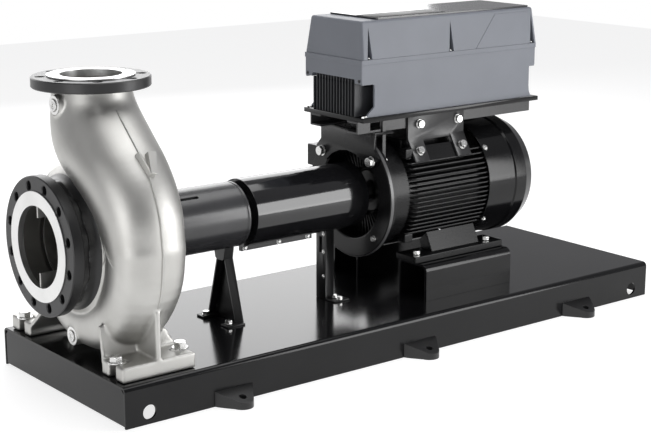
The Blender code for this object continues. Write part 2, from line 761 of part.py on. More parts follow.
def motor_rails():
    """Folded inverted channels that carry the motor feet."""
    sheet = 0.008
    bend = 0.020
    inner = 0.089
    outer = 0.203
    low = DECK + GAP
    high = -MOTOR_FOOT_DROP
    section = [(outer, low)] + arc((outer - bend, high - bend), bend, 0, 90, 5)
    section += arc((inner + bend, high - bend), bend, 90, 180, 5) + [(inner, low), (inner + sheet, low)]
    section += [(inner + sheet, high - bend), (inner + bend, high - sheet), (outer - bend, high - sheet),
                (outer - sheet, high - bend), (outer - sheet, low)]
    for side, name in ((-1, "near"), (1, "far")):
        plate(f"motor_rail_{name}", [mirrored(section, side)], "x", 0.895, 1.214, BLACK_SHEET)


def fan_cover():
    wall = FAN_COVER_WALL
    shoulder = 1.300
    shoulder_r = 0.1725
    end_r = 0.155
    inner_rear = FAN_COVER_REAR - wall
    cover = turned("fan_cover", [(0, FAN_COVER_REAR), (end_r, FAN_COVER_REAR), (shoulder_r, shoulder),
                                 (FAN_COVER_R, FAN_COVER_FRONT), (FAN_COVER_R - wall, FAN_COVER_FRONT),
                                 (shoulder_r - wall, shoulder - 0.001), (end_r - wall, inner_rear),
                                 (0, inner_rear)], BLACK_SHEET, 40)
    sectors = 12
    bar = 0.12
    for i in range(sectors):
        start = 360 * i / sectors + bar * 30
        end = 360 * (i + 1) / sectors - bar * 30
        outline = arc((0, 0), 0.130, start, end, 3) + arc((0, 0), 0.050, end - 2, start + 2, 2)
        slot = plate("grille_slot", [outline], "x", inner_rear - OVERRUN, FAN_COVER_REAR + OVERRUN, None,
                     group=CUTTERS)
        cut(cover, slot)
    return cover


# Drive support and drive

def drive_front_bracket():
    """Upright plate on the motor flange with a ledge under the channels."""
    back = MOTOR_FACE - GAP
    face = back - 0.010
    top = CHANNEL_BOTTOM - GAP
    half = 0.113
    right = [(half, top), (half, 0.140), (0.134, 0.118), (0.118, 0.100)]
    notch = arc((0, 0), MOTOR_OPENING_R, 42, 138, 7)
    outline = right + notch + mirrored(right, -1)[::-1]
    bracket = plate("drive_front_bracket", [outline], "x", face, back, BLACK_SHEET)
    ledge = block("bracket_ledge", (face + SINK, -half + SINK, MOTOR_FLANGE_R + 0.0015),
                  (face + 0.070, half - SINK, top - SINK / 2), None, group=CUTTERS)
    join(bracket, ledge)
    return bracket


def drive_channels():
    sheet = 0.005
    toe = CHANNEL_FACE - 0.045
    low = CHANNEL_BOTTOM
    high = PLATE_BOTTOM - GAP
    web = CHANNEL_FACE - sheet
    section = [(CHANNEL_FACE, low), (CHANNEL_FACE, high), (toe, high), (toe, high - sheet),
               (web, high - sheet), (web, low + sheet), (toe, low + sheet), (toe, low)]
    for side, name in ((-1, "near"), (1, "far")):
        plate(f"drive_channel_{name}", [mirrored(section, side)], "x",
              DRIVE_FRONT + 0.002, DRIVE_REAR + 0.002, BLACK_SHEET)


def saddle_brackets():
    """Outer plate beside each channel with two legs folded out to the motor's pads."""
    sheet = 0.006
    leg_length = 0.050
    inner = CHANNEL_FACE + GAP
    bend_z = 0.152
    knee = SADDLE_NORMAL * SADDLE_FACE + SADDLE_ALONG * 0.0762
    toe = SADDLE_NORMAL * SADDLE_FACE + SADDLE_ALONG * 0.0058
    out = SADDLE_NORMAL * sheet
    leg = [knee, knee + out, toe + out, toe]
    for side, name in ((-1, "near"), (1, "far")):
        bracket = block(f"saddle_bracket_{name}", (SADDLE_FRONT, side * inner, bend_z - 0.006),
                        (SADDLE_REAR, side * (inner + sheet), PLATE_BOTTOM - 0.003), BLACK_SHEET)
        for x in (SADDLE_FRONT + SINK, SADDLE_REAR - leg_length - SINK):
            step = plate("saddle_leg", [mirrored(leg, side)], "x", x, x + leg_length, None, group=CUTTERS)
            join(bracket, step)


def drive_box():
    block("drive_mounting_plate", (DRIVE_FRONT, -0.128, PLATE_BOTTOM),
          (DRIVE_REAR + 0.010, 0.128, PLATE_TOP), BLACK_SHEET)
    heat_sink()
    half = 0.120
    drive_body(half)
    drive_lid()
    panel = block("control_panel", (0.802, -0.092, DRIVE_TOP + GAP), (1.048, -0.012, DRIVE_TOP + 0.006),
                  PANEL_BLACK)
    bevel(panel, 0.002, 1)


def drive_body(half):
    """Body on the heat sink, with skirts down its flanks that are cut off at the front corner."""
    body = block("drive_body", (DRIVE_FRONT, -half, DRIVE_SEAM_LOW),
                 (DRIVE_REAR, half, DRIVE_SEAM_HIGH - GAP), DRIVE_GREY)
    top = DRIVE_SEAM_LOW + SINK
    low = PLATE_TOP + GAP
    skirt = [(0.776, top), (0.776, 0.256), (0.746, low), (1.350, low), (1.350, top)]
    for side in (-1, 1):
        wing = plate("body_skirt", [skirt], "y", side * SKIRT_INSIDE, side * (half - SINK), None,
                     group=CUTTERS)
        join(body, wing)
    return body


def drive_lid():
    """Lid with walls leaning in to a smaller flat top."""
    low = ((DRIVE_FRONT + 0.002, DRIVE_REAR + 0.002), 0.123, DRIVE_SEAM_HIGH)
    high = ((DRIVE_FRONT + 0.009, DRIVE_REAR - 0.004), 0.107, DRIVE_TOP)
    rings = []
    for (front, rear), half, z in (low, high):
        rings.append([(front, -half, z), (rear, -half, z), (rear, half, z), (front, half, z)])
    return bevel(loft("drive_lid", rings, DRIVE_GREY), 0.006, 2)


def heat_sink():
    """Finned casting under the drive body, with closed flanks."""
    low = PLATE_TOP + GAP
    high = DRIVE_SEAM_LOW - GAP
    flank = HEAT_SINK_FLANK
    wall = 0.005
    slab = high - 0.012
    half_fin = 0.00175
    count = 14
    pitch = 0.0134
    section = [(-flank, high), (-flank, low), (-flank + wall, low), (-flank + wall, slab)]
    for i in range(count):
        y = (i - (count - 1) / 2) * pitch
        section += [(y - half_fin, slab), (y - half_fin, low), (y + half_fin, low), (y + half_fin, slab)]
    section += [(flank - wall, slab), (flank - wall, low), (flank, low), (flank, high)]
    return plate("drive_heat_sink", [section], "x", 0.745, 1.350, DRIVE_GREY)


base_deck()
base_end_panels()
anchor_tabs()
volute_casing()
pump_flanges()
casing_plugs()
casing_cover()
rotor()
bearing_bracket()
bracket_leg()
coupling_guard()
guard_post()
motor_flange()
motor_housing()
motor_feet()
motor_rails()
fan_cover()
drive_front_bracket()
drive_channels()
saddle_brackets()
drive_box()
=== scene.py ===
import json
from math import cos, pi, radians, sin, sqrt, tau

import bmesh
import bpy
from mathutils import Matrix, Vector
from mathutils.bvhtree import BVHTree


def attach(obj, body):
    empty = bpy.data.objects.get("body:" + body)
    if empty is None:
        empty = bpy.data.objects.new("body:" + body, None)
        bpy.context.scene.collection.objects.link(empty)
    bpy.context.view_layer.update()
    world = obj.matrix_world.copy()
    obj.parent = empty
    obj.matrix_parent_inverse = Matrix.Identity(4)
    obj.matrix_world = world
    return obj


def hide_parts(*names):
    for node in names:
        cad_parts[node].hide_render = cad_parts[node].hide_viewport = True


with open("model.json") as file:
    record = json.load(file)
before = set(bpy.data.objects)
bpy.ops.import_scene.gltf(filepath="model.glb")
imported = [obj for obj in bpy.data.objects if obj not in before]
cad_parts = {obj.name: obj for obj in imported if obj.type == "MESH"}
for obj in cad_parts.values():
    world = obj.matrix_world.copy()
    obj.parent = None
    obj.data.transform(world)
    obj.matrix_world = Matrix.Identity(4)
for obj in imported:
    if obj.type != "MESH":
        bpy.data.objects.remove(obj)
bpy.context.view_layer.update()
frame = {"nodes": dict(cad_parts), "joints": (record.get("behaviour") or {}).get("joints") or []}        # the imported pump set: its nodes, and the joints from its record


# The studio. A pale glowing floor runs out into a white sweep. One soft box stands near the motor and
# one beyond the suction end, a wide panel behind the set and a dimmer one over it. The camera looks
# from the suction end's near side, a little above the shaft.

SHAFT = Vector(frame["joints"][0]["pos_m"])    # where the shaft line crosses the discharge centreline
STUDIO_CENTRE = Vector((0.0, 0.0, 0.35))

scene = bpy.context.scene
scene.view_settings.view_transform = "Standard"


def node(tree, kind, x, y, **settings):
    """A shader node at a place in its tree, with its sockets' values set by name."""
    made = tree.nodes.new(kind)
    made.location = (x, y)
    for socket, value in settings.items():
        made.inputs[socket.replace("_", " ")].default_value = value
    return made


def ramp(tree, x, y, *stops):
    """A colour ramp through stops of position and colour."""
    made = node(tree, "ShaderNodeValToRGB", x, y)
    marks = made.color_ramp.elements
    for i, (position, colour) in enumerate(stops):
        mark = marks[i] if i < len(marks) else marks.new(position)
        mark.position = position
        mark.color = (*colour, 1)
    return made


def wired(tree, *wires):
    """Joins each output socket to the input socket beside it."""
    for output, taken in wires:
        tree.links.new(output, taken)


def placed(name, data):
    """A new object in the scene, for a mesh, a curve, a light or a lens."""
    item = bpy.data.objects.new(name, data)
    scene.collection.objects.link(item)
    return item


def product_camera():
    azimuth = radians(-38.179)
    elevation = radians(13.343)
    back = Vector((sin(azimuth) * cos(elevation), -cos(azimuth) * cos(elevation), sin(elevation)))
    lens = bpy.data.cameras.new("product_camera")
    lens.sensor_width = 36
    lens.lens = 84.85
    camera = placed("product_camera", lens)
    from_shaft = Vector((-1.7963, -3.1831, 0.908))
    camera.location = SHAFT + from_shaft
    camera.rotation_mode = "QUATERNION"
    camera.rotation_quaternion = (-back).to_track_quat("-Z", "Y")
    scene.camera = camera


def soft_box(name, place, width, height, radiance):
    light = bpy.data.lights.new(name, "AREA")
    light.shape = "RECTANGLE"
    light.size = width
    light.size_y = height
    light.energy = radiance * pi * width * height
    box = placed(name, light)
    box.location = place
    box.rotation_mode = "QUATERNION"
    box.rotation_quaternion = (STUDIO_CENTRE - Vector(place)).to_track_quat("-Z", "Y")


def white_sweep():
    """White below the horizon, where the floor runs out, grey above it and darker on the near side."""
    world = bpy.data.worlds.new("white_sweep")
    world.use_nodes = True
    tree = world.node_tree
    background = tree.nodes["Background"]
    where = node(tree, "ShaderNodeTexCoord", -1100, 0)
    split = node(tree, "ShaderNodeSeparateXYZ", -900, 0)
    height = ramp(tree, -300, 0, (0.0, (1, 1, 1)), (0.05, (0.36, 0.36, 0.37)), (1.0, (0.30, 0.30, 0.31)))
    near = node(tree, "ShaderNodeVectorMath", -900, -300)
    near.operation = "DOT_PRODUCT"
    towards_camera = (-0.618, -0.786, 0)
    near.inputs[1].default_value = towards_camera
    share = node(tree, "ShaderNodeMapRange", -700, -300, From_Min=0.0, From_Max=0.7)
    above = node(tree, "ShaderNodeMapRange", -700, -600, From_Min=0.0, From_Max=0.05)
    both = node(tree, "ShaderNodeMath", -500, -400)
    both.operation = "MULTIPLY"
    dimmed = node(tree, "ShaderNodeMapRange", -300, -400, To_Min=1.0, To_Max=0.30)
    wired(tree, (where.outputs["Generated"], split.inputs[0]), (split.outputs["Z"], height.inputs[0]),
          (height.outputs["Color"], background.inputs["Color"]),
          (where.outputs["Generated"], near.inputs[0]), (near.outputs["Value"], share.inputs["Value"]),
          (split.outputs["Z"], above.inputs["Value"]), (share.outputs[0], both.inputs[0]),
          (above.outputs[0], both.inputs[1]), (both.outputs[0], dimmed.inputs["Value"]),
          (dimmed.outputs[0], background.inputs["Strength"]))
    scene.world = world


def studio_floor():
    reach = 6.5
    shape = bmesh.new()
    bmesh.ops.create_grid(shape, x_segments=8, y_segments=8, size=reach)
    mesh = bpy.data.meshes.new("studio_floor")
    shape.to_mesh(mesh)
    shape.free()
    paper = bpy.data.materials.new("pale_paper")
    paper.use_nodes = True
    tree = paper.node_tree
    shader = tree.nodes["Principled BSDF"]
    shader.inputs["Roughness"].default_value = 0.75
    shader.inputs["Emission Color"].default_value = (1, 1, 1, 1)
    shader.inputs["Emission Strength"].default_value = 0.78
    grain = node(tree, "ShaderNodeTexNoise", -500, 0, Scale=3.0, Detail=6.0)
    tone = ramp(tree, -300, 0, (0.0, (0.33, 0.33, 0.33)), (1.0, (0.36, 0.36, 0.36)))
    wired(tree, (grain.outputs[0], tone.inputs[0]), (tone.outputs["Color"], shader.inputs["Base Color"]))
    mesh.materials.append(paper)
    floor = placed("studio_floor", mesh)
    floor.location.z = -0.0005


product_camera()
white_sweep()
studio_floor()
soft_box("near_soft_box", (1.75, -2.35, 0.95), 1.3, 1.7, 6.2)
soft_box("suction_side_box", (-3.05, -1.25, 1.1), 1.5, 2.0, 2.4)
soft_box("overhead_panel", (0.3, -0.2, 3.4), 3.6, 2.6, 2.2)
soft_box("far_panel", (0.87, 3.42, 1.9), 4.5, 2.4, 2.6)


# The base frame. One 6 mm sheet folded down along both long sides and powder coated in gloss black,
# with an end panel welded inside each fold and a lifting hole near each corner. The panels' upper
# corners are cut off to clear the bends.

FLOOR = -SHAFT.z
DECK = FLOOR + 0.100
BASE_FRONT = -0.111
BASE_REAR = BASE_FRONT + 1.800
HALF_WIDTH = 0.300
DECK_SHEET = 0.006


def finish(name, dark, light, roughness, metallic=0.0, grain=60.0, depth=0.0, sheen_spread=0.06,
           index=1.5, stretch=(1, 1, 1)):
    """A node material in two close tones, with its gloss and its surface broken up by the same grain.
    Grain is in waves a metre, depth in metres, and stretch draws the grain out along an axis."""
    made = bpy.data.materials.new(name)
    made.use_nodes = True
    tree = made.node_tree
    shader = tree.nodes["Principled BSDF"]
    shader.inputs["Metallic"].default_value = metallic
    shader.inputs["IOR"].default_value = index
    where = node(tree, "ShaderNodeTexCoord", -1300, 0)
    drawn = node(tree, "ShaderNodeMapping", -1100, 0, Scale=stretch)
    cloud = node(tree, "ShaderNodeTexNoise", -850, 250, Scale=9.0, Detail=4.0)
    fine = node(tree, "ShaderNodeTexNoise", -850, -100, Scale=grain, Detail=5.0, Roughness=0.6)
    tone = ramp(tree, -550, 250, (0.30, dark), (0.70, light))
    gloss = node(tree, "ShaderNodeMapRange", -550, -50, From_Min=0.30, From_Max=0.70,
                 To_Min=roughness - sheen_spread / 2, To_Max=roughness + sheen_spread / 2)
    wired(tree, (where.outputs["Object"], drawn.inputs["Vector"]),
          (drawn.outputs["Vector"], fine.inputs["Vector"]),
          (where.outputs["Object"], cloud.inputs["Vector"]), (cloud.outputs[0], tone.inputs[0]),
          (tone.outputs["Color"], shader.inputs["Base Color"]), (fine.outputs[0], gloss.inputs["Value"]),
          (gloss.outputs["Result"], shader.inputs["Roughness"]))
    if depth:
        rough = node(tree, "ShaderNodeBump", -300, -300, Distance=depth, Strength=1.0)
        wired(tree, (fine.outputs[0], rough.inputs["Height"]),
              (rough.outputs["Normal"], shader.inputs["Normal"]))
    return made


def settled(item):
    """The item's mesh as its modifiers leave it. The item itself is used up."""
    bpy.context.view_layer.update()
    seen = item.evaluated_get(bpy.context.evaluated_depsgraph_get())
    mesh = bpy.data.meshes.new_from_object(seen)
    bpy.data.objects.remove(item)
    return mesh


def shaped(shape):
    """A mesh from a bmesh, with its faces turned out."""
    bmesh.ops.recalc_face_normals(shape, faces=shape.faces)
    mesh = bpy.data.meshes.new("shape")
    shape.to_mesh(mesh)
    shape.free()
    return mesh


AXES = {
    "x": Matrix(((0, 0, 1), (1, 0, 0), (0, 1, 0))),
    "y": Matrix(((1, 0, 0), (0, 0, -1), (0, 1, 0))),
    "z": Matrix.Identity(3),
}


def plate(loops, axis, start, end, edge=0.0, steps=1):
    """A flat outline with its holes, cut from start to end along one axis, its edges broken."""
    curve = bpy.data.curves.new("outline", "CURVE")
    curve.dimensions = "2D"
    curve.fill_mode = "BOTH"
    curve.extrude = abs(end - start) / 2 - edge
    curve.bevel_depth = edge
    curve.offset = -edge
    curve.bevel_resolution = steps
    for loop in loops:
        line = curve.splines.new("POLY")
        line.points.add(len(loop) - 1)
        for point, (u, v) in zip(line.points, loop):
            point.co = (u, v, 0, 1)
        line.use_cyclic_u = True
    mesh = settled(placed("outline", curve))
    shape = bmesh.new()
    shape.from_mesh(mesh)
    bpy.data.meshes.remove(mesh)
    bmesh.ops.remove_doubles(shape, verts=shape.verts, dist=0.00002)
    middle = (start + end) / 2
    shift = {"x": (middle, 0, 0), "y": (0, middle, 0), "z": (0, 0, middle)}[axis]
    bmesh.ops.transform(shape, matrix=Matrix.Translation(shift) @ AXES[axis].to_4x4(), verts=shape.verts)
    return shaped(shape)


def block(corner, opposite, edge=0.0, steps=2):
    """A sawn block between two opposite corners, its edges rounded."""
    low = Vector(map(min, corner, opposite))
    high = Vector(map(max, corner, opposite))
    shape = bmesh.new()
    bmesh.ops.create_cube(shape, size=1)
    fit = Matrix.Translation((low + high) / 2) @ Matrix.Diagonal((*(high - low), 1))
    bmesh.ops.transform(shape, matrix=fit, verts=shape.verts)
    if edge:
        bmesh.ops.bevel(shape, geom=shape.edges[:], offset=edge, segments=steps, affect="EDGES",
                        profile=0.5)
    return shaped(shape)


def arc(centre, radius, first, last, count):
    """Points along a circle between two angles in degrees."""
    turns = [radians(first + (last - first) * i / (count - 1)) for i in range(count)]
    return [(centre[0] + radius * cos(turn), centre[1] + radius * sin(turn)) for turn in turns]


def circle(radius, count, centre=(0, 0), first=0.0):
    return arc(centre, radius, first, first + 360 * (count - 1) / count, count)


def mirrored(points, side):
    """An outline on the near side (-1) or the far side (1)."""
    return [(side * across, up) for across, up in points]


def joined(meshes):
    """Several meshes gathered into one."""
    shape = bmesh.new()
    for mesh in meshes:
        shape.from_mesh(mesh)
        bpy.data.meshes.remove(mesh)
    whole = bpy.data.meshes.new("whole")
    shape.to_mesh(whole)
    shape.free()
    return whole


def carved(mesh, tools, solver="EXACT"):
    """The mesh with each tool's shape cut away."""
    work = placed("work", mesh)
    cutters = [placed("tool", tool) for tool in tools]
    for cutter in cutters:
        step = work.modifiers.new("cut", "BOOLEAN")
        step.operation = "DIFFERENCE"
        step.solver = solver
        step.object = cutter
    made = settled(work)
    for cutter in cutters:
        bpy.data.objects.remove(cutter)
    return made


def piece(name, mesh, surface, body="pump_set", replaces=(), smooth=38):
    """A finished piece, drawn from the shaft datum, hung on its body in place of its plain solids."""
    mesh.name = name
    mesh.shade_smooth()
    mesh.set_sharp_from_angle(angle=radians(smooth))
    mesh.materials.clear()
    mesh.materials.append(surface)
    item = placed(name, mesh)
    item.location = SHAFT
    even = item.modifiers.new("even_shading", "WEIGHTED_NORMAL")
    even.keep_sharp = True
    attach(item, body)
    if replaces:
        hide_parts(*replaces)
    return item


GLOSS_BLACK = finish("gloss_black_powder_coat", (0.003, 0.003, 0.0035), (0.006, 0.006, 0.0065), 0.14,
                     grain=420.0, depth=0.00003, index=1.36)


def folded_deck():
    bend = 0.013
    right = [(HALF_WIDTH, FLOOR)] + arc((HALF_WIDTH - bend, DECK - bend), bend, 0, 90, 9)
    inner = [(HALF_WIDTH - DECK_SHEET, FLOOR)]
    inner += arc((HALF_WIDTH - bend, DECK - bend), bend - DECK_SHEET, 0, 90, 6)
    section = right + mirrored(right, -1)[::-1] + mirrored(inner, -1) + inner[::-1]
    deck = plate([section], "x", BASE_FRONT, BASE_REAR, edge=0.0009)
    hole_r, hole_rise, hole_inset = 0.018, 0.029, 0.065
    holes = [plate([circle(hole_r, 32, (x, FLOOR + hole_rise))], "y", -0.32, 0.32)
             for x in (BASE_FRONT + hole_inset, BASE_REAR - hole_inset)]
    return carved(deck, holes)


piece("base_deck.folded_sheet", folded_deck(), GLOSS_BLACK, replaces=["base_deck"])
for end, face, inward in (("front", BASE_FRONT, 1), ("rear", BASE_REAR, -1)):
    half = HALF_WIDTH - DECK_SHEET - 0.0004
    top = DECK - DECK_SHEET - 0.0004
    clip = 0.012
    corners = [(half, FLOOR + 0.004), (half, top - clip), (half - clip, top)]
    panel = plate([corners + mirrored(corners, -1)[::-1]], "x", face + inward * 0.0015,
                  face + inward * 0.0075, edge=0.0008)
    piece(f"base_{end}_panel.plate", panel, GLOSS_BLACK, replaces=[f"base_{end}_panel"])


# The anchor lugs. Six small iron castings welded along the long sides at floor level, rounded in
# plan and sloping down to the nose, each drilled for one anchor bolt. They are painted satin black.

SATIN_BLACK = finish("satin_black_casting_paint", (0.006, 0.006, 0.0065), (0.011, 0.011, 0.0115), 0.34,
                     grain=260.0, depth=0.00018)
LUG_PLACES = {"front": 0.190, "middle": 0.787, "rear": 1.386}
SIDES = (("near", -1), ("far", 1))
HAIR = 0.0003    # the gap left where one piece lies on another


def anchor_lug(x, side):
    reach, rise = 0.064, 0.038
    nose_r, nose_rise = 0.027, 0.016
    hole_r, hole_out = 0.009, 0.038
    right = [(0.055, HALF_WIDTH + HAIR), (0.050, HALF_WIDTH + 0.010), (0.040, HALF_WIDTH + 0.025)]
    right += arc((0, HALF_WIDTH + reach - nose_r), nose_r, 15, 90, 9)
    plan = [(x + u, side * v) for u, v in right + [(-u, v) for u, v in right[-2::-1]]]
    hole = circle(hole_r, 24, (x, side * (HALF_WIDTH + hole_out)), 7.5)
    lug = plate([plan, hole], "z", FLOOR, FLOOR + rise)
    slope = (rise - nose_rise) / reach
    over = 0.020
    wedge = [(HALF_WIDTH - over, FLOOR + rise + slope * over),
             (HALF_WIDTH + reach + over, FLOOR + nose_rise - slope * over),
             (HALF_WIDTH + reach + over, FLOOR + rise + over), (HALF_WIDTH - over, FLOOR + rise + over)]
    work = placed("lug", carved(lug, [plate([mirrored(wedge, side)], "x", x - 0.08, x + 0.08)]))
    rounded = work.modifiers.new("cast_edges", "BEVEL")
    rounded.width = 0.0022
    rounded.segments = 3
    rounded.angle_limit = radians(35)
    return settled(work)


for side_name, side in SIDES:
    for where, x in LUG_PLACES.items():
        node_name = f"anchor_tab_{side_name}_{where}"
        piece(f"{node_name}.casting", anchor_lug(x, side), SATIN_BLACK,
              replaces=[node_name])


# The volute casing. One stainless casting, blasted to an even satin: a spiral that grows round the
# impeller into the discharge neck, the round drum with the suction nozzle, two feet on webs and
# ribs, and bosses for the plugs. Its flange collars are machined, and its bore is painted darker as shade.

BLASTED_STAINLESS = finish("bead_blasted_stainless", (0.50, 0.495, 0.475), (0.60, 0.595, 0.575), 0.46,
                           metallic=1.0, grain=900.0, depth=0.00008, sheen_spread=0.10)
MACHINED_STAINLESS = finish("machined_stainless", (0.74, 0.74, 0.73), (0.86, 0.86, 0.85), 0.34,
                            metallic=1.0, grain=300.0, depth=0.00002, sheen_spread=0.12)

# Angle in degrees from the top over the far side, outer radius and half thickness of the spiral
SPIRAL = ((22, 0.203, 0.055), (50, 0.214, 0.058), (80, 0.226, 0.062), (110, 0.240, 0.066),
          (140, 0.254, 0.071), (170, 0.266, 0.076), (200, 0.278, 0.081), (225, 0.290, 0.086),
          (250, 0.299, 0.090), (270, 0.301, 0.093))
SPIRAL_INNER_R = 0.150
SPIRAL_POWER = 2.4    # a section's curve: 2 is an ellipse, and more is squarer
NECK_POWER = 2.0

# Outer and inner point (y, z) of the neck on its plane of symmetry, and its half thickness
NECK = (((-0.300, 0.040), (-0.140, 0.030), 0.095),
        ((-0.291, 0.105), (-0.115, 0.070), 0.100),
        ((-0.262, 0.170), (-0.075, 0.105), 0.106),
        ((-0.218, 0.228), (-0.022, 0.138), 0.112),
        ((-0.172, 0.272), (0.034, 0.172), 0.116),
        ((-0.135, 0.306), (0.070, 0.218), 0.114),
        ((-0.1085, 0.334), (0.0865, 0.272), 0.107),
        ((-0.0985, 0.355), (0.0925, 0.318), 0.0995),
        ((-0.0955, 0.376), (0.0942, 0.358), 0.0955),
        ((-0.0945, 0.3975), (0.0945, 0.3975), 0.0945))
CASTING_WALL = 0.009
FOOT_HALF_LENGTH = 0.100
FOOT_TOP = DECK + 0.038
FOOT_WEBS = {-1: ((-0.183, -0.262), (-0.169, -0.165)), 1: ((0.184, -0.256), (0.104, -0.190))}
PLUGS = (("neck_plug", (-0.014, 0.336), -0.1075), ("drain_plug", (0.0, -0.236), -0.0765))
PLUG_R = 0.0135


def section_sizes():
    """Outer point, inner point, half thickness and power of each section, first to last."""
    sizes = []
    for degrees, outer_r, half in SPIRAL:
        out = Vector((sin(radians(degrees)), cos(radians(degrees))))
        sizes.append((*(out * outer_r), *(out * SPIRAL_INNER_R), half, SPIRAL_POWER))
    for step, (outer, inner, half) in enumerate(NECK):
        part = min(1, (step + 1) / 5)
        sizes.append((*outer, *inner, half, SPIRAL_POWER + (NECK_POWER - SPIRAL_POWER) * part))
    return sizes


def faired(rows, between):
    """Rows of sizes with smooth steps put in between, as a loftsman's batten would lie."""
    made = []
    for i in range(len(rows) - 1):
        before, start = rows[max(i - 1, 0)], rows[i]
        end, after = rows[i + 1], rows[min(i + 2, len(rows) - 1)]
        for step in range(between):
            t = step / between
            made.append([0.5 * (2 * b + (c - a) * t + (2 * a - 5 * b + 4 * c - d) * t * t
                                + (3 * b - a - 3 * c + d) * t ** 3)
                         for a, b, c, d in zip(before, start, end, after)])
    made.append(list(rows[-1]))
    return made


def section_ring(sizes, wall, count):
    """Points round one section, drawn in by the wall."""
    outer, inner = Vector(sizes[0:2]), Vector(sizes[2:4])
    half, power = sizes[4] - wall, sizes[5]
    out = (outer - inner).normalized()
    reach = (outer - inner).length / 2 - wall
    ring = []
    for i in range(count):
        turn = tau * i / count
        along = abs(cos(turn)) ** (2 / power) * (1 if cos(turn) > 0 else -1)
        across = abs(sin(turn)) ** (2 / power) * (1 if sin(turn) > 0 else -1)
        spot = (outer + inner) / 2 + out * (across * reach)
        ring.append((along * half, spot.x, spot.y))
    return ring


def loft(rings, around=False):
    """A closed skin through rings of equal count: with flat ends, or on from the last to the first."""
    shape = bmesh.new()
    layers = [[shape.verts.new(point) for point in ring] for ring in rings]
    ends = [] if around else [layers[0], layers[-1]]
    for near, far in zip(layers, layers[1:] + (layers[:1] if around else [])):
        for i in range(len(near)):
            j = (i + 1) % len(near)
            shape.faces.new((near[i], near[j], far[j], far[i]))
    for end in ends:
        shape.faces.new(end)
    return shaped(shape)


def softened(profile, radius, steps=3, closed=True):
    """The profile with each corner rounded to the radius, or to half its shorter side."""
    made = []
    count = len(profile)
    for i, corner in enumerate(profile):
        if not closed and i in (0, count - 1):
            made.append(tuple(corner))
            continue
        here = Vector(corner)
        back = Vector(profile[i - 1]) - here
        on = Vector(profile[(i + 1) % count]) - here
        bend = back.angle(on, pi)
        if bend > radians(172):
            made.append(tuple(corner))
            continue
        cut = min(radius / max(0.05, abs(sin(bend / 2) / cos(bend / 2))), 0.45 * back.length,
                  0.45 * on.length)
        first, last = here + back.normalized() * cut, here + on.normalized() * cut
        for step in range(steps + 1):
            t = step / steps
            made.append(tuple(first * (1 - t) ** 2 + here * 2 * t * (1 - t) + last * t * t))
    return made


def turned(profile, count=96, about="x"):
    """A (radius, along) profile turned about the shaft line. It is closed through the axis where it
    starts and ends there, and otherwise as a ring."""
    shape = bmesh.new()
    on_axis = profile[0][0] == 0
    rows = []
    for radius, along in profile:
        if radius == 0:
            rows.append([shape.verts.new((along, 0, 0))])
            continue
        rows.append([shape.verts.new((along, radius * sin(tau * i / count), radius * cos(tau * i / count)))
                     for i in range(count)])
    pairs = list(zip(rows, rows[1:])) + ([] if on_axis else [(rows[-1], rows[0])])
    for near, far in pairs:
        for i in range(count):
            j = (i + 1) % count
            corners = [near[i % len(near)], near[j % len(near)], far[j % len(far)], far[i % len(far)]]
            corners = [v for k, v in enumerate(corners) if v not in corners[:k]]
            if len(corners) > 2:
                shape.faces.new(corners)
    if about == "z":
        bmesh.ops.transform(shape, matrix=Matrix.Rotation(-pi / 2, 4, "Y"), verts=shape.verts)
    return shaped(shape)


def rod(centre, radius, start, end, sides=32):
    """A bar along the shaft line."""
    return plate([circle(radius, sides, centre)], "x", start, end)


def foot_slab(side):
    """Foot with an open slot for its bolt at each end."""
    half, slot_y, slot_r, depth = FOOT_HALF_LENGTH, 0.225, 0.014, 0.025
    slot = [(half - depth - (x - half), y) for x, y in arc((half, slot_y), slot_r, -90, 90, 13)]
    right = [(half, 0.178), (half, slot_y - slot_r - 0.001)] + slot
    right += [(half, slot_y + slot_r + 0.001), (half, 0.275)]
    outline = right + [(-x, y) for x, y in right[::-1]]
    return plate([[(x, side * y) for x, y in outline]], "z", DECK + HAIR, FOOT_TOP)


def foot_web(side):
    half_thick = 0.0055
    foot, top = (Vector(point) for point in FOOT_WEBS[side])
    across = (top - foot).orthogonal().normalized() * half_thick
    rings = []
    for x, rise in ((-FOOT_HALF_LENGTH + 0.001, 1), (0.055, 1), (FOOT_HALF_LENGTH - 0.001, 0.25)):
        crest = foot.lerp(top, rise)
        corners = (foot - across, foot + across, crest + across, crest - across)
        rings.append([(x, *corner) for corner in corners])
    return loft(rings)


def foot_rib(side):
    high = {-1: (0.2744, -0.126), 1: (0.215, -0.120)}[side]
    outline = [(0.150, DECK + 0.02), (0.2744, DECK + 0.02), (0.2744, FOOT_TOP + 0.004), high,
               (0.150, high[1])]
    return plate([mirrored(outline, side)], "x", -0.007, 0.007)


def cast_body():
    """The raw casting: its solids run together, with the moulder's fillets where they meet."""
    sections = faired(section_sizes(), 4)
    drum = [(0.000, 0.088), (0.186, 0.088), (0.192, 0.060), (0.196, 0.030), (0.196, -0.030),
            (0.188, -0.056), (0.165, -0.080), (0.140, -0.094), (0.1215, -0.112), (0.1115, -0.128),
            (0.1115, -0.159), (0.000, -0.159)]
    solids = [loft([section_ring(sizes, 0, 64) for sizes in sections]),
              turned(softened(drum, 0.012, closed=False), 128)]
    for side in (-1, 1):
        solids += [foot_slab(side), foot_web(side), foot_rib(side)]
    for _, centre, face in PLUGS:
        solids.append(rod(centre, PLUG_R + 0.0105, face - 0.004, -0.05))
    work = placed("raw_casting", joined(solids))
    cast = work.modifiers.new("run_together", "REMESH")
    cast.mode = "VOXEL"
    cast.voxel_size = 0.0036
    fillet = work.modifiers.new("fillets", "SMOOTH")
    fillet.factor = 0.5
    fillet.iterations = 5
    return settled(work)


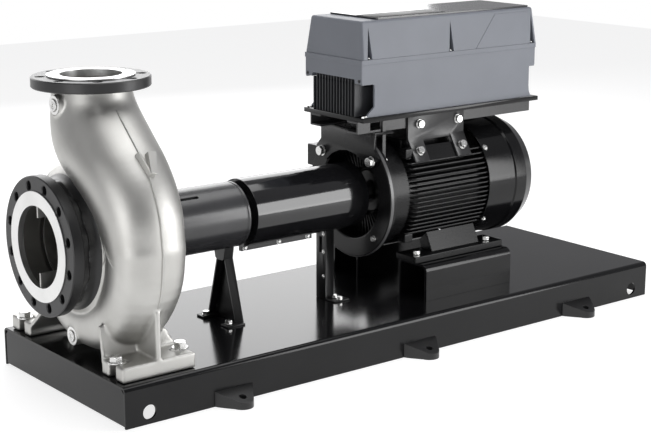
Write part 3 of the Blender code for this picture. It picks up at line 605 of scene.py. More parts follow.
def casing_cavities():
    """What the cores take out: the passage, and the impeller's chamber with the suction bore."""
    passage = [section_ring(sizes, CASTING_WALL, 48) for sizes in faired(section_sizes(), 3)]
    mouth_r, mouth_z, neck_r = 0.075, 0.380, 0.0945
    shrink = mouth_r / (neck_r - CASTING_WALL)
    mouth = [(shrink * x, shrink * y, mouth_z) for x, y, _ in passage[-1]]
    passage = passage[3:-2] + [mouth, [(x, y, z + 0.04) for x, y, z in mouth]]
    chamber = [(0, 0.130), (0.183, 0.130), (0.183, 0.0874), (0.168, 0.0874), (0.174, 0.050),
               (0.174, -0.047), (0.112, -0.047), (0.106, -0.060), (0.106, -0.101), (0.0998, -0.102),
               (0.0998, -0.180), (0, -0.180)]
    return [loft(passage), turned(chamber, 96)]


def casing_facings():
    """Slices that the mill and the lathe take off the outside of the raw casting."""
    under_feet = block((-0.2, -0.4, DECK - 0.05), (0.2, 0.4, DECK + HAIR))
    over_collar = block((-0.2, -0.2, 0.3966), (0.2, 0.2, 0.45))
    spot_faces = [rod(centre, 0.0255, face - 0.04, face, 48) for _, centre, face in PLUGS]
    return [under_feet, over_collar, *spot_faces]


def flange_collar(bore, inner, outer, face, back):
    """Raised face of a pipe flange, turned with a fine step to its outer edge."""
    root = back - (face - back) * 4
    return softened([(outer, back), (outer, face), (bore, face), (bore, root), (inner, root),
                     (inner, back)], 0.0008, 2)


raw = cast_body()
body_mesh = carved(carved(raw, casing_facings(), "MANIFOLD"), casing_cavities(), "MANIFOLD")
raw_skin = body_mesh.copy()
casting = piece("volute_casing.casting", body_mesh, BLASTED_STAINLESS,
                replaces=["volute_casing"])
# A darker copy of the stainless: painted shade for the suction bore and the impeller deep inside it.
PAINTED_SHADE_STAINLESS = finish("painted_shade_stainless", (0.15, 0.146, 0.136), (0.21, 0.205, 0.192), 0.50,
                         metallic=1.0, grain=300.0, depth=0.00010, sheen_spread=0.12)
casting.data.materials.append(PAINTED_SHADE_STAINLESS)
BORE_END, BORE_LIMIT_R = -0.03, 0.1075    # the suction bore, painted darker as shade, ends at the impeller
# Faces inside the suction bore take the darker stainless: painted shade.
for face in casting.data.polygons:
    face.material_index = face.center.x < BORE_END and Vector(face.center.yz).length < BORE_LIMIT_R
suction_collar = flange_collar(bore=0.0994, inner=0.1115, outer=0.134, face=-0.160, back=-0.157)
piece("volute_casing.suction_face", turned(suction_collar, 128), MACHINED_STAINLESS)
discharge_collar = flange_collar(bore=0.0744, inner=0.0945, outer=0.1055, face=0.400, back=0.3964)
piece("volute_casing.discharge_face", turned(discharge_collar, 128, about="z"), MACHINED_STAINLESS)
bore_ribs = [block((-0.1565, -0.0030, low), (-0.108, 0.0030, high), 0.0008)
             for low, high in ((-0.1010, -0.0645), (0.0705, 0.1010))]
piece("volute_casing.bore_ribs", joined(bore_ribs), BLASTED_STAINLESS)


# The casting's marks. The parting line of the mould stands up as a thin fin down the near side, with
# a cast datum lug on it, and an arrowhead by the suction shows the sense of rotation.

def skin_point(origin, direction):
    """Where a ray from outside meets the casting, and the casting's outward direction there."""
    hit, out, _, _ = CASTING_SKIN.ray_cast(Vector(origin), Vector(direction))
    return hit, out


def ridge(track, half_wide, high):
    """A raised line along points on the casting's skin, sunk at its foot and run out at its ends."""
    rings = []
    last = len(track) - 1
    for i, (spot, out) in enumerate(track):
        ahead = (track[min(i + 1, last)][0] - track[max(i - 1, 0)][0]).normalized()
        aside = ahead.cross(out).normalized() * half_wide
        lift = high * min(1.0, 0.15 + i / 2.5, 0.15 + (last - i) / 2.5)
        rings.append([spot - out * 0.0015 - aside, spot + out * lift * 0.7 - aside * 0.75,
                      spot + out * lift - aside * 0.3, spot + out * lift + aside * 0.3,
                      spot + out * lift * 0.7 + aside * 0.75, spot - out * 0.0015 + aside])
    return loft(rings)


def parting_fin():
    top, foot, steps = 0.326, -0.118, 56
    track = [skin_point((0.0, -0.5, top - (top - foot) * i / steps), (0, 1, 0)) for i in range(steps + 1)]
    return ridge(track, 0.0030, 0.0030)


def datum_lug():
    """A slanted block beside the fin and a thin bar along it, which meet at the foot: a moulder's V."""
    top, out = skin_point((0.0, -0.5, 0.235), (0, 1, 0))
    foot, _ = skin_point((0.0, -0.5, 0.187), (0, 1, 0))
    beside, _ = skin_point((0.045, -0.5, 0.235), (0, 1, 0))
    down = (foot - top).normalized()
    facing = down.cross(beside - top).normalized()
    if facing.dot(out) < 0:
        facing = -facing
    wide = [(-0.014, 0.0), (-0.040, 0.0), (-0.014, 0.060), (0.002, 0.056)]
    thin = [(0.012, -0.002), (0.007, -0.003), (-0.003, 0.054), (0.002, 0.056)]
    lug = joined([plate([wide], "z", -0.016, 0.0155, edge=0.0016, steps=2),
                  plate([thin], "z", -0.012, 0.0125, edge=0.0012)])
    turn = Matrix((down.cross(facing), down, facing)).transposed().to_4x4()
    lug.transform(Matrix.Translation(top) @ turn)
    return lug


def arrow_head():
    strokes = []
    tip = Vector((-0.192, 0.034))
    for end in ((-0.233, -0.012), (-0.165, -0.022)):
        spots = [tip.lerp(Vector(end), i / 8) for i in range(9)]
        strokes.append(ridge([skin_point((-0.4, *spot), (1, 0, 0)) for spot in spots], 0.0028, 0.0030))
    return joined(strokes)


CASTING_SKIN = BVHTree.FromPolygons([tuple(v.co) for v in raw_skin.vertices],
                                    [tuple(face.vertices) for face in raw_skin.polygons])
piece("volute_casing.marks", joined([parting_fin(), datum_lug(), arrow_head()]), BLASTED_STAINLESS,
      smooth=30)


# The pipe flanges. Loose iron rings, painted satin black, sit behind the casing's collars: twelve
# bolt holes at the suction, where a cone scalloped into bosses backs the ring, and eight at the
# discharge. The black cone runs on over the casing's drum as painted shade. Their rims are broken by a
# turned chamfer.

FLANGE_BLACK = finish("black_flange_paint", (0.008, 0.008, 0.0085), (0.014, 0.014, 0.015), 0.36,
                      grain=200.0, depth=0.00012)


def pipe_flange(axis, face, back, radius, bore, holes, pitch_r, hole_r, first):
    """A flat ring with its bolt holes, the first one at an angle in degrees."""
    loops = [circle(radius, 128), circle(bore, 96, first=1.7)]
    for i in range(holes):
        turn = radians(first) + tau * i / holes
        loops.append(circle(hole_r, 24, (pitch_r * cos(turn), pitch_r * sin(turn)), 3.1))
    return plate(loops, axis, face, back, edge=0.0022, steps=0)


suction_ring = pipe_flange("x", face=-0.1567, back=-0.127, radius=0.170, bore=0.1128, holes=12,
                           pitch_r=0.1475, hole_r=0.011, first=15)
piece("suction_flange.ring", suction_ring, FLANGE_BLACK, replaces=["suction_flange"])


def bosses_and_shade_cone():
    """Cone behind the suction ring, scalloped into a boss for each of its bolts, that runs on in black over
    the casing's drum as painted shade.
    """
    rings = []
    for along, radius, lobe in ((-0.1265, 0.1600, 0.005), (-0.1130, 0.1600, 0.005),
                                (-0.1090, 0.1570, 0.004), (-0.1060, 0.1560, 0.0), (-0.0940, 0.1565, 0.0),
                                (-0.0860, 0.1600, 0.0), (-0.0795, 0.1650, 0.0), (-0.0780, 0.1600, 0.0),
                                (-0.0780, 0.1180, 0.0), (-0.1265, 0.1150, 0.0)):
        rings.append([(along, (radius + lobe * cos(12 * turn + pi)) * sin(turn),
                       (radius + lobe * cos(12 * turn + pi)) * cos(turn))
                      for turn in (tau * i / 192 for i in range(192))])
    return loft(rings, around=True)


# The black cone: bosses behind the ring, and painted shade over the casing's drum up to the volute.
piece("suction_flange.bosses_and_shade_cone", bosses_and_shade_cone(), FLANGE_BLACK)
discharge_ring = pipe_flange("z", face=0.3961, back=0.3704, radius=0.1425, bore=0.0986, holes=8,
                             pitch_r=0.120, hole_r=0.011, first=22.5)
piece("discharge_flange.ring", discharge_ring, FLANGE_BLACK, replaces=["discharge_flange"])


# The plugs. Two stainless pipe plugs with round heads, turned with a ring groove and drilled for a
# hexagon key, one high on the neck and one at the casing's lowest point.

def moved(mesh, shift):
    mesh.transform(Matrix.Translation(shift))
    return mesh


def plug_head(centre, face):
    """The plug with its sealing ring, and the machined land round it."""
    back = face - HAIR
    front = back - 0.0042
    head = [(0, back), (PLUG_R, back), (PLUG_R, front), (0.0095, front), (0.0093, front + 0.0016),
            (0.0078, front + 0.0016), (0.0076, front), (0.0044, front), (0.0040, front + 0.0034),
            (0, front + 0.0034)]
    land = [(0.0228, back), (0.0228, back - 0.0012), (0.0160, back - 0.0012), (0.0160, back)]
    rings = [turned(softened(head, 0.0006, 2, closed=False), 48), turned(softened(land, 0.0004, 2), 64)]
    return moved(joined(rings), (0, *centre))


for plug_name, centre, face in PLUGS:
    piece(f"{plug_name}.head", plug_head(centre, face), MACHINED_STAINLESS,
          replaces=[plug_name])


# The feet's bolts. Zinc plated hexagon bolts on thick washers hold the casing to the base frame, one
# in each slot. The same heads, smaller, hold the leg, the post, the motor and the drive.

BRIGHT_ZINC = finish("bright_zinc_plate", (0.62, 0.62, 0.61), (0.78, 0.78, 0.77), 0.26, metallic=1.0,
                     grain=500.0, depth=0.00003, sheen_spread=0.12)


def hex_head(flats, height):
    """Hexagon head from its seat at 0 up the x axis, its corners turned off at the top."""
    def ring(along, limit):
        points = []
        for turn in (tau * i / 48 for i in range(48)):
            radius = flats / 2 / cos((turn + pi / 6) % (pi / 3) - pi / 6)
            points.append((along, min(radius, limit) * cos(turn), min(radius, limit) * sin(turn)))
        return points
    corner = flats / 2 / cos(pi / 6)
    steps = ((0.0, corner), (0.80, corner), (0.90, flats * 0.535), (0.97, flats * 0.505),
             (1.0, flats * 0.475))
    return loft([ring(height * share, limit) for share, limit in steps])


def washer(radius, hole_r, thick, start):
    section = [(radius, start + thick), (radius, start), (hole_r, start), (hole_r, start + thick)]
    return turned(softened(section, thick * 0.3, 2), 40)


def set_at(meshes, place, facing):
    """The meshes, made along the x axis, stood at a place and turned to face along a direction."""
    whole = joined(meshes)
    turn = Vector(facing).to_track_quat("X", "Z").to_matrix().to_4x4()
    whole.transform(Matrix.Translation(place) @ turn)
    return whole


def bolt(place, facing, flats, washer_r=None):
    """A bolt head on its washer."""
    thick, lift = flats * 0.12, 0.0004
    ring = washer(washer_r or flats * 0.62, flats * 0.30, thick, lift)
    head = moved(hex_head(flats, flats * 0.48), (thick + lift, 0, 0))
    return set_at([ring, head], place, facing)


def bolts(name, rows):
    """Bolts gathered into one piece, in rows of place, direction, width across flats and, where it
    isn't the common one, the washer's radius."""
    piece(name, joined([bolt(*row) for row in rows]), BRIGHT_ZINC, smooth=30)


UP = (0, 0, 1)
bolts("casing_foot.bolts", [((x, side * 0.225, FOOT_TOP), UP, 0.028, 0.020)
                            for x in (-0.088, 0.088) for side in (-1, 1)])


# The bearing bracket. A grey painted casting bolted to the casing's cover: a flange, a cone and a
# long barrel, with an oil slot along its top and two turned rings at the end that enters the guard.

BRACKET_GREY = finish("dark_grey_bracket_paint", (0.026, 0.026, 0.028), (0.038, 0.038, 0.041), 0.24,
                      grain=240.0, depth=0.00008, index=1.60)
SHAFT_BORE_R = 0.0246
BRACKET_R = 0.085
BRACKET_NECK_R = 0.052
GUARD_START = 0.419
GUARD_WALL = 0.003


def bracket_barrel():
    nose = GUARD_START + GUARD_WALL
    end = 0.402
    groove_r = BRACKET_R - 0.0015
    profile = [(SHAFT_BORE_R, nose), (BRACKET_NECK_R, nose), (BRACKET_NECK_R, end),
               (BRACKET_R - 0.002, end), (BRACKET_R, end - 0.002), (BRACKET_R, 0.394), (groove_r, 0.393),
               (groove_r, 0.390), (BRACKET_R, 0.389), (BRACKET_R, 0.185), (0.100, 0.160), (0.132, 0.135),
               (0.132, 0.1043), (SHAFT_BORE_R, 0.1043)]
    barrel = turned(softened(profile, 0.0014, 2), 144)
    half_slot, slot_start, slot_bend = 0.0045, 0.200, 0.2615
    slot = [(slot_bend, -half_slot), *arc((slot_bend, 0), half_slot, -90, 90, 9)[1:-1],
            (slot_bend, half_slot), (slot_start, half_slot), (slot_start, -half_slot)]
    slot_cut = plate([slot], "z", 0.077, 0.100)
    slot_cut.transform(Matrix.Rotation(radians(34), 4, "X"))
    return carved(barrel, [slot_cut])


piece("bearing_bracket.barrel", bracket_barrel(), BRACKET_GREY,
      replaces=["bearing_bracket"])
cover_profile = [(0.182, 0.104), (0.182, 0.0877), (0.1675, 0.0877), (0.1675, 0.052), (SHAFT_BORE_R, 0.052),
                 (SHAFT_BORE_R, 0.104)]
piece("casing_cover.disc", turned(softened(cover_profile, 0.0015, 2), 128), BRACKET_GREY,
      replaces=["casing_cover"])
BOLT_CIRCLES = (("bearing_bracket.flange_bolts", 0.135, 0.122, 8, 0.20, 0.017),
                ("casing_cover.bolts", 0.104, 0.168, 12, 0.13, 0.018))
for bolts_name, seat_x, pitch_r, number, lead, flats in BOLT_CIRCLES:
    turns = [tau * i / number + lead for i in range(number)]
    bolts(bolts_name, [((seat_x, pitch_r * sin(turn), pitch_r * cos(turn)), (1, 0, 0), flats)
                       for turn in turns])


# The bracket's leg. Folded from 5 mm sheet: a face that widens from the saddle under the barrel, a
# rib turned forward along each side, and a tab under each rib for its bolt. Powder coated black.

def dressed(node_name, surface, edge):
    """A solid whose shape is right as it stands: welded, its edges rounded, and given its finish."""
    item = frame["nodes"][node_name]
    item.data.materials.clear()
    item.data.materials.append(surface)
    item.data.shade_smooth()
    weld = item.modifiers.new("weld", "WELD")
    weld.merge_threshold = 0.00003
    rounded = item.modifiers.new("rounded_edges", "BEVEL")
    rounded.width = edge
    rounded.segments = 2
    rounded.limit_method = "ANGLE"
    rounded.angle_limit = radians(35)
    rounded.harden_normals = True


dressed("bracket_leg", SATIN_BLACK, 0.0009)
LEG_FACE = 0.382
saddle = [(0.0195, -0.112), (0.0265, -0.081), (-0.0265, -0.081), (-0.0195, -0.112), (-0.012, -0.1165),
          (0.012, -0.1165)]
saddle_block = plate([saddle], "x", LEG_FACE - 0.0245, LEG_FACE - HAIR, edge=0.0012)
barrel_seat = rod((0, 0), BRACKET_R + 0.0004, 0.3, 0.42, 96)
piece("bracket_leg.saddle", carved(saddle_block, [barrel_seat]), SATIN_BLACK)
LEG_SHEET = 0.005
bolts("bracket_leg.bolts", [((LEG_FACE - 0.034, side * 0.052, DECK + LEG_SHEET + HAIR), UP, 0.017)
                            for side in (-1, 1)])


# The rotor. A stainless impeller keyed to the shaft behind a hexagon nut, a spacer coupling inside
# the guard, the motor's own shaft, and a moulded fan under the cover at the far end.

TURNED_STEEL = finish("turned_shaft_steel", (0.46, 0.46, 0.47), (0.58, 0.58, 0.59), 0.28, metallic=1.0,
                      grain=700.0, depth=0.00002, stretch=(8, 1, 1))
MOULDED_BLACK = finish("moulded_black_plastic", (0.012, 0.012, 0.013), (0.020, 0.020, 0.021), 0.45,
                       grain=900.0, depth=0.00004)
SHAFT_R = 0.024


def impeller_wheel():
    bore = SHAFT_R + HAIR
    hub = [(0.0275, 0.046), (0.045, 0.046), (0.060, 0.040), (0.160, 0.028), (0.160, 0.022),
           (0.070, 0.030), (0.040, 0.016), (0.034, -0.010), (0.034, -0.018), (bore, -0.018), (bore, 0.046)]
    shroud = [(0.160, -0.016), (0.160, -0.022), (0.108, -0.040), (0.0990, -0.056), (0.0968, -0.093),
              (0.0925, -0.093), (0.0925, -0.048), (0.104, -0.034)]
    wheel = [turned(softened(hub, 0.002, 2), 96), turned(softened(shroud, 0.002, 2), 96)]
    blades, root_r, tip_r, sweep = 6, 0.052, 0.159, radians(100)
    for index in range(blades):
        near, far = [], []
        for part in (i / 14 for i in range(15)):
            radius = root_r + (tip_r - root_r) * part
            turn = tau * index / blades - sweep * part
            half = 0.0024 / radius
            near.append((radius * cos(turn - half), radius * sin(turn - half)))
            far.append((radius * cos(turn + half), radius * sin(turn + half)))
        wheel.append(plate([near + far[::-1]], "x", -0.036, 0.027))
        wheel.append(plate([near[:7] + far[6::-1]], "x", -0.072, -0.030))
    return joined(wheel)


# The wheel takes the darker stainless: painted shade, deep inside the casing.
piece("impeller.wheel", impeller_wheel(), PAINTED_SHADE_STAINLESS, "rotor", ["impeller"])
eye_edge = [(0.0928, -0.0930), (0.0928, -0.0938), (0.0962, -0.0938), (0.0962, -0.0930)]
piece("impeller.eye_edge", turned(eye_edge, 128), MACHINED_STAINLESS, "rotor")
nut = moved(hex_head(0.044, 0.031), (0.0185, 0, 0))
nut.transform(Matrix.Rotation(pi, 4, "Z"))
piece("impeller_nut.hexagon", nut, MACHINED_STAINLESS, "rotor", ["impeller_nut"], 30)
for shaft_name, start, end in (("pump_shaft", -0.018, 0.670), ("motor_shaft", 0.680, 1.302)):
    bar = softened([(0, end), (SHAFT_R, end), (SHAFT_R, start), (0, start)], 0.0015, 2, closed=False)
    piece(f"{shaft_name}.bar", turned(bar, 64), TURNED_STEEL, "rotor", [shaft_name])
coupling = [(SHAFT_R + HAIR, 0.735), (0.038, 0.735), (0.038, 0.697), (0.068, 0.697), (0.068, 0.678),
            (0.060, 0.676), (0.060, 0.674), (0.068, 0.672), (0.068, 0.653), (0.038, 0.653), (0.038, 0.615),
            (SHAFT_R + HAIR, 0.615)]
piece("shaft_coupling.hubs", turned(softened(coupling, 0.0015, 2), 72), BRACKET_GREY,
      "rotor", ["shaft_coupling"])
dressed("motor_fan", MOULDED_BLACK, 0.0006)


# The coupling guard. A steel sheet rolled into a tube round the coupling, its two lips turned down
# and screwed together below, an end ring at the bracket's neck, all in gloss black.

GUARD_BLACK = finish("gloss_black_guard_coat", (0.006, 0.006, 0.007), (0.010, 0.010, 0.011), 0.10,
                     grain=350.0, depth=0.00002, index=1.60, sheen_spread=0.03)
GUARD_R = 0.0895
GUARD_END = 0.786
LIPS_END = 0.655


def guard_tube():
    bore = GUARD_R - GUARD_WALL
    neck = BRACKET_NECK_R + HAIR
    profile = [(GUARD_R, GUARD_END), (GUARD_R, GUARD_START), (neck, GUARD_START),
               (neck, GUARD_START + GUARD_WALL), (bore, GUARD_START + GUARD_WALL), (bore, GUARD_END)]
    tube = turned(softened(profile, 0.0012, 2), 160)
    lips = [block((GUARD_START + 0.004, side * 0.0006, -GUARD_R - 0.014),
                  (LIPS_END, side * 0.006, -bore - 0.001), 0.0010) for side in (-1, 1)]
    return joined([tube, *lips])


piece("coupling_guard.rolled_sheet", guard_tube(), GUARD_BLACK, replaces=["coupling_guard"])


def pan_head(place, facing, radius):
    """A round screw head on a small washer."""
    thick = radius * 0.22
    outline = [(0, radius * 0.75), (radius * 0.62, radius * 0.72), (radius, radius * 0.35), (radius, 0.0),
               (0, 0.0)]
    head = turned(softened(outline, radius * 0.2, 2, closed=False), 24)
    ring = washer(radius * 1.35, radius * 0.5, thick, 0.0002)
    return set_at([ring, moved(head, (thick, 0, 0))], place, facing)


def screws(name, rows, surface=BRIGHT_ZINC):
    piece(name, joined([pan_head(*row) for row in rows]), surface, smooth=30)


screws("coupling_guard.lip_screws", [((x, -0.006, -GUARD_R - 0.006), (0, -1, 0), 0.0055)
                                     for x in (0.434, 0.544, 0.640)])


# The guard's post. Folded 4 mm sheet with two wings and a foot, slotted near its top so that the
# guard can be set to height, held to the deck by two bolts.

dressed("guard_post", SATIN_BLACK, 0.0007)
POST_FACE = 0.690
POST_SHEET = 0.004
screws("guard_post.screws", [((POST_FACE, -0.013, z), (-1, 0, 0), 0.0042)
                             for z in (-0.096, -0.146, -0.215)])
bolts("guard_post.bolts", [((POST_FACE + 0.025, y, DECK + POST_SHEET + HAIR), UP, 0.013)
                           for y in (-0.030, -0.052)])


# The motor. Grey iron castings painted satin black: the flange ring with its bell shield, and the
# frame with flat cooling fins, bolt pads and feet. A pressed steel cover closes the fan end.

MOTOR_BLACK = finish("satin_black_motor_paint", (0.004, 0.004, 0.0045), (0.008, 0.008, 0.0085), 0.27,
                     grain=700.0, depth=0.00002, index=1.33)
MOTOR_FACE = 0.790
MOTOR_OPENING_R = 0.1225
MOTOR_FLANGE_R = 0.175
HOUSING_FRONT = 0.880
HOUSING_REAR = 1.180
BARREL_R = 0.142
FIN_R = 0.166
UNDER_COVER_R = 0.1638
FOOT_FACE = -0.180
FOOT_THICK = 0.019


def spun(count, corner, opposite):
    """A thin block with broken edges, repeated round the shaft line."""
    made = []
    for i in range(count):
        made.append(block(corner, opposite, 0.0006, 1))
        made[-1].transform(Matrix.Rotation(tau * i / count, 4, "X"))
    return made


def flange_bell():
    """Flange ring and bell shield, ribbed inside, with the lug on its far side."""
    rear = HOUSING_FRONT
    chamfer_r = MOTOR_FLANGE_R - 0.0025
    profile = [(0.130, rear), (0.150, rear), (0.152, 0.815), (chamfer_r, 0.812), (chamfer_r, 0.803),
               (MOTOR_FLANGE_R, 0.802), (MOTOR_FLANGE_R, MOTOR_FACE + 0.003), (chamfer_r, MOTOR_FACE),
               (0.1255, MOTOR_FACE), (0.1245, MOTOR_FACE + 0.002), (MOTOR_OPENING_R, MOTOR_FACE + 0.002),
               (MOTOR_OPENING_R, 0.855), (0.060, 0.861), (0.056, 0.858), (0.034, 0.858),
               (SHAFT_BORE_R, 0.861), (SHAFT_BORE_R, rear)]
    ribs = spun(48, (0.836, 0.066, -0.0016), (0.864, MOTOR_OPENING_R + 0.004, 0.0016))
    lug = block((MOTOR_FACE + 0.0006, 0.138, 0.052), (0.868, 0.190, 0.112), 0.003)
    return joined([turned(softened(profile, 0.0016, 2), 144), *ribs, lug])


def fin_outline(front, rear, z, half_fin):
    """A flat fin's plan: its tips run back along the frame and round off at both ends."""
    off_axis = abs(z) + half_fin
    reach = sqrt(FIN_R ** 2 - off_axis ** 2)
    under = sqrt(UNDER_COVER_R ** 2 - off_axis ** 2)
    step, bend = 1.150, 0.012
    near = arc((front + bend, -reach + bend), bend, 180, 270, 5)
    near += [(step, -reach), (step + 0.004, -under), (rear, -under)]
    return near + [(x, -y) for x, y in near[::-1]]


def finned_frame():
    front = HOUSING_FRONT + HAIR
    profile = [(SHAFT_BORE_R, HOUSING_REAR), (BARREL_R, HOUSING_REAR), (BARREL_R, front),
               (SHAFT_BORE_R, front)]
    barrel = [turned(profile)]
    count, pitch, half_fin = 17, 0.013, 0.0021
    for index in range(count):
        z = (index - (count - 1) / 2) * pitch
        barrel.append(plate([fin_outline(front + 0.004, 1.172, z, half_fin)], "z", z - half_fin,
                            z + half_fin, edge=0.0012))
    for side in (-1, 1):
        for z in (0.118, -0.118):
            barrel.append(block((0.881, side * 0.098, z - 0.012), (0.910, side * 0.128, z + 0.012), 0.003))
    top_pad = block((0.905, -0.080, 0.050), (1.110, 0.080, 0.148), 0.004, 3)
    return joined([*barrel, top_pad])


SADDLE_OUT = Vector((0.853, 0.522)).normalized()
SADDLE_UP = Vector((-SADDLE_OUT.y, SADDLE_OUT.x))
SADDLE_FACE = 0.1666
SADDLE_FRONT = 0.905
SADDLE_REAR = 1.110


def saddle_pads():
    top = SADDLE_FACE - HAIR
    corners = ((0.120, 0.008), (top, 0.008), (top, 0.052), (0.120, 0.052))
    outline = [SADDLE_OUT * out + SADDLE_UP * up for out, up in corners]
    return [plate([mirrored(outline, side)], "x", SADDLE_FRONT + 0.007, SADDLE_REAR - 0.006, edge=0.002)
            for side in (-1, 1)]


def motor_foot(side):
    """Foot plate with its sloping web, rounded like the rest of the casting."""
    low, top = FOOT_FACE + HAIR, FOOT_FACE + FOOT_THICK
    web = [(0.106, top - 0.004), (0.150, top - 0.004), (0.118, -0.100), (0.080, -0.100)]
    slab = block((0.882, side * 0.092, low), (1.210, side * 0.172, top), 0.0025, 3)
    riser = plate([mirrored(web, side)], "x", 0.962, 1.142, edge=0.003, steps=2)
    seat = rod((0, 0), FIN_R + 0.0008, 0.80, 1.30, 96)
    return joined([slab, carved(riser, [seat])])


piece("motor_flange.bell", flange_bell(), MOTOR_BLACK, replaces=["motor_flange"])
piece("motor_housing.finned_frame", joined([finned_frame(), *saddle_pads()]), MOTOR_BLACK,
      replaces=["motor_housing"])
# A lighter ring round the flange rim: a bare machined edge, and painted highlight where the rim catches the
# light.
BARE_EDGE_AND_HIGHLIGHT = finish("bare_flange_edge_and_painted_highlight", (0.060, 0.060, 0.062), (0.100, 0.100, 0.102), 0.30,
                   grain=400.0, depth=0.00002, index=1.6)
rim_r = MOTOR_FLANGE_R + 0.0006
rim_band = [(rim_r, 0.8014), (rim_r, 0.7914), (0.1740, 0.7914), (0.1740, 0.8014)]
piece("motor_flange.rim_edge", turned(softened(rim_band, 0.0006, 1), 160), BARE_EDGE_AND_HIGHLIGHT)
for side_name, side in SIDES:
    piece(f"motor_foot_{side_name}.casting", motor_foot(side), MOTOR_BLACK,
          replaces=[f"motor_foot_{side_name}"])
FLANGE_BOLT = 0.106    # across and up from the shaft line
bolts("motor_flange.bolts", [((seat_x, side * FLANGE_BOLT, z), (-1, 0, 0), flats) for side in (-1, 1)
                             for seat_x, z, flats in ((MOTOR_FACE, -FLANGE_BOLT, 0.013),
                                                      (MOTOR_FACE - 0.0103, FLANGE_BOLT, 0.024))])
bolts("motor_feet.bolts", [((x, side * 0.145, FOOT_FACE + FOOT_THICK), UP, 0.017)
                           for x in (0.909, 1.170) for side in (-1, 1)])


# The motor's rails. Two inverted channels folded from 8 mm plate carry the feet at shaft height.
# Powder coated with the base frame.

def motor_rail(side):
    sheet, bend, inner, outer = 0.008, 0.020, 0.089, 0.203
    low, high = DECK + HAIR, FOOT_FACE
    section = [(outer, low)] + arc((outer - bend, high - bend), bend, 0, 90, 9)
    section += arc((inner + bend, high - bend), bend, 90, 180, 9) + [(inner, low), (inner + sheet, low)]
    section += arc((inner + bend, high - bend), bend - sheet, 180, 90, 6)
    section += arc((outer - bend, high - bend), bend - sheet, 90, 0, 6) + [(outer - sheet, low)]
    return plate([mirrored(section, side)], "x", 0.895, 1.214, edge=0.001)


for side_name, side in SIDES:
    piece(f"motor_rail_{side_name}.channel", motor_rail(side), GLOSS_BLACK,
          replaces=[f"motor_rail_{side_name}"])


# The fan cover. Deep drawn steel with a rolled shoulder, its end pierced in rings between spokes for
# the fan's air, screwed to the frame round its open edge.

COVER_REAR = 1.340
COVER_FRONT = 1.160
COVER_R = 0.1675


def drawn_cover():
    wall, inside = 0.003, COVER_REAR - 0.003
    profile = [(0.134, COVER_REAR), (0.150, COVER_REAR), (0.1565, COVER_REAR - 0.004), (0.1725, 1.300),
               (0.1725, 1.262), (0.1690, 1.258), (COVER_R, COVER_FRONT), (COVER_R - wall, COVER_FRONT),
               (0.1660, 1.258), (0.1695, 1.299), (0.1535, COVER_REAR - 0.006), (0.134, inside)]
    cover = [turned(softened(profile, 0.0025), 144)]
    rings, first_r, last_r, half = 9, 0.048, 0.132, 0.0014
    for i in range(rings):
        radius = first_r + (last_r - first_r) * i / (rings - 1)
        wire = [(radius + half, COVER_REAR), (radius - half, COVER_REAR), (radius - half, inside),
                (radius + half, inside)]
        cover.append(turned(softened(wire, 0.0008, 1), 96))
    hub = [(0, COVER_REAR), (0.047, COVER_REAR), (0.047, inside), (0, inside)]
    cover.append(turned(softened(hub, 0.0008, 1, closed=False), 64))
    spokes = spun(12, (inside + 0.0002, 0.044, -0.0030), (COVER_REAR - 0.0002, 0.137, 0.0030))
    return joined(cover + spokes)


piece("fan_cover.drawn_steel", drawn_cover(), GLOSS_BLACK, replaces=["fan_cover"])
seat_r = COVER_R - HAIR
screws("fan_cover.screws", [((COVER_FRONT + 0.012, seat_r * cos(turn), seat_r * sin(turn)),
                             (0, cos(turn), sin(turn)), 0.0062)
                            for turn in map(radians, (38, 142, 218, 322))])


# The drive's support. An upright plate bolted to the motor flange with a ledge across its top, two
# channels back to front, and folded saddle brackets down to pads on the motor. The drive's thick
# base plate lies on the channels. All are black coated steel.

GREY_COAT = finish("dark_grey_bracket_coat", (0.022, 0.022, 0.023), (0.031, 0.031, 0.032), 0.30,
                   grain=260.0, depth=0.00006)
dressed("drive_front_bracket", MOTOR_BLACK, 0.0008)
dressed("drive_mounting_plate", GLOSS_BLACK, 0.0010)
DRIVE_FRONT = 0.732
DRIVE_REAR = 1.372
CHANNEL_LOW = 0.184
CHANNEL_HIGH = 0.2167
STAY_X = 0.8225
STAY_HALF = 0.0055


def drive_channel(side):
    """Folded channel, its web notched behind the front bracket for the cables."""
    web, toe, sheet = 0.102, 0.057, 0.005
    section = [(web, CHANNEL_LOW), (web, CHANNEL_HIGH), (toe, CHANNEL_HIGH), (toe, CHANNEL_HIGH - sheet),
               (web - sheet, CHANNEL_HIGH - sheet), (web - sheet, CHANNEL_LOW + sheet),
               (toe, CHANNEL_LOW + sheet), (toe, CHANNEL_LOW)]
    whole = plate([mirrored(section, side)], "x", DRIVE_FRONT + 0.002, DRIVE_REAR + 0.002, edge=0.0008)
    notch = block((0.777, -0.080, CHANNEL_LOW + 0.0058), (0.816, -0.110, CHANNEL_HIGH - 0.0058))
    return carved(whole, [notch]) if side < 0 else whole


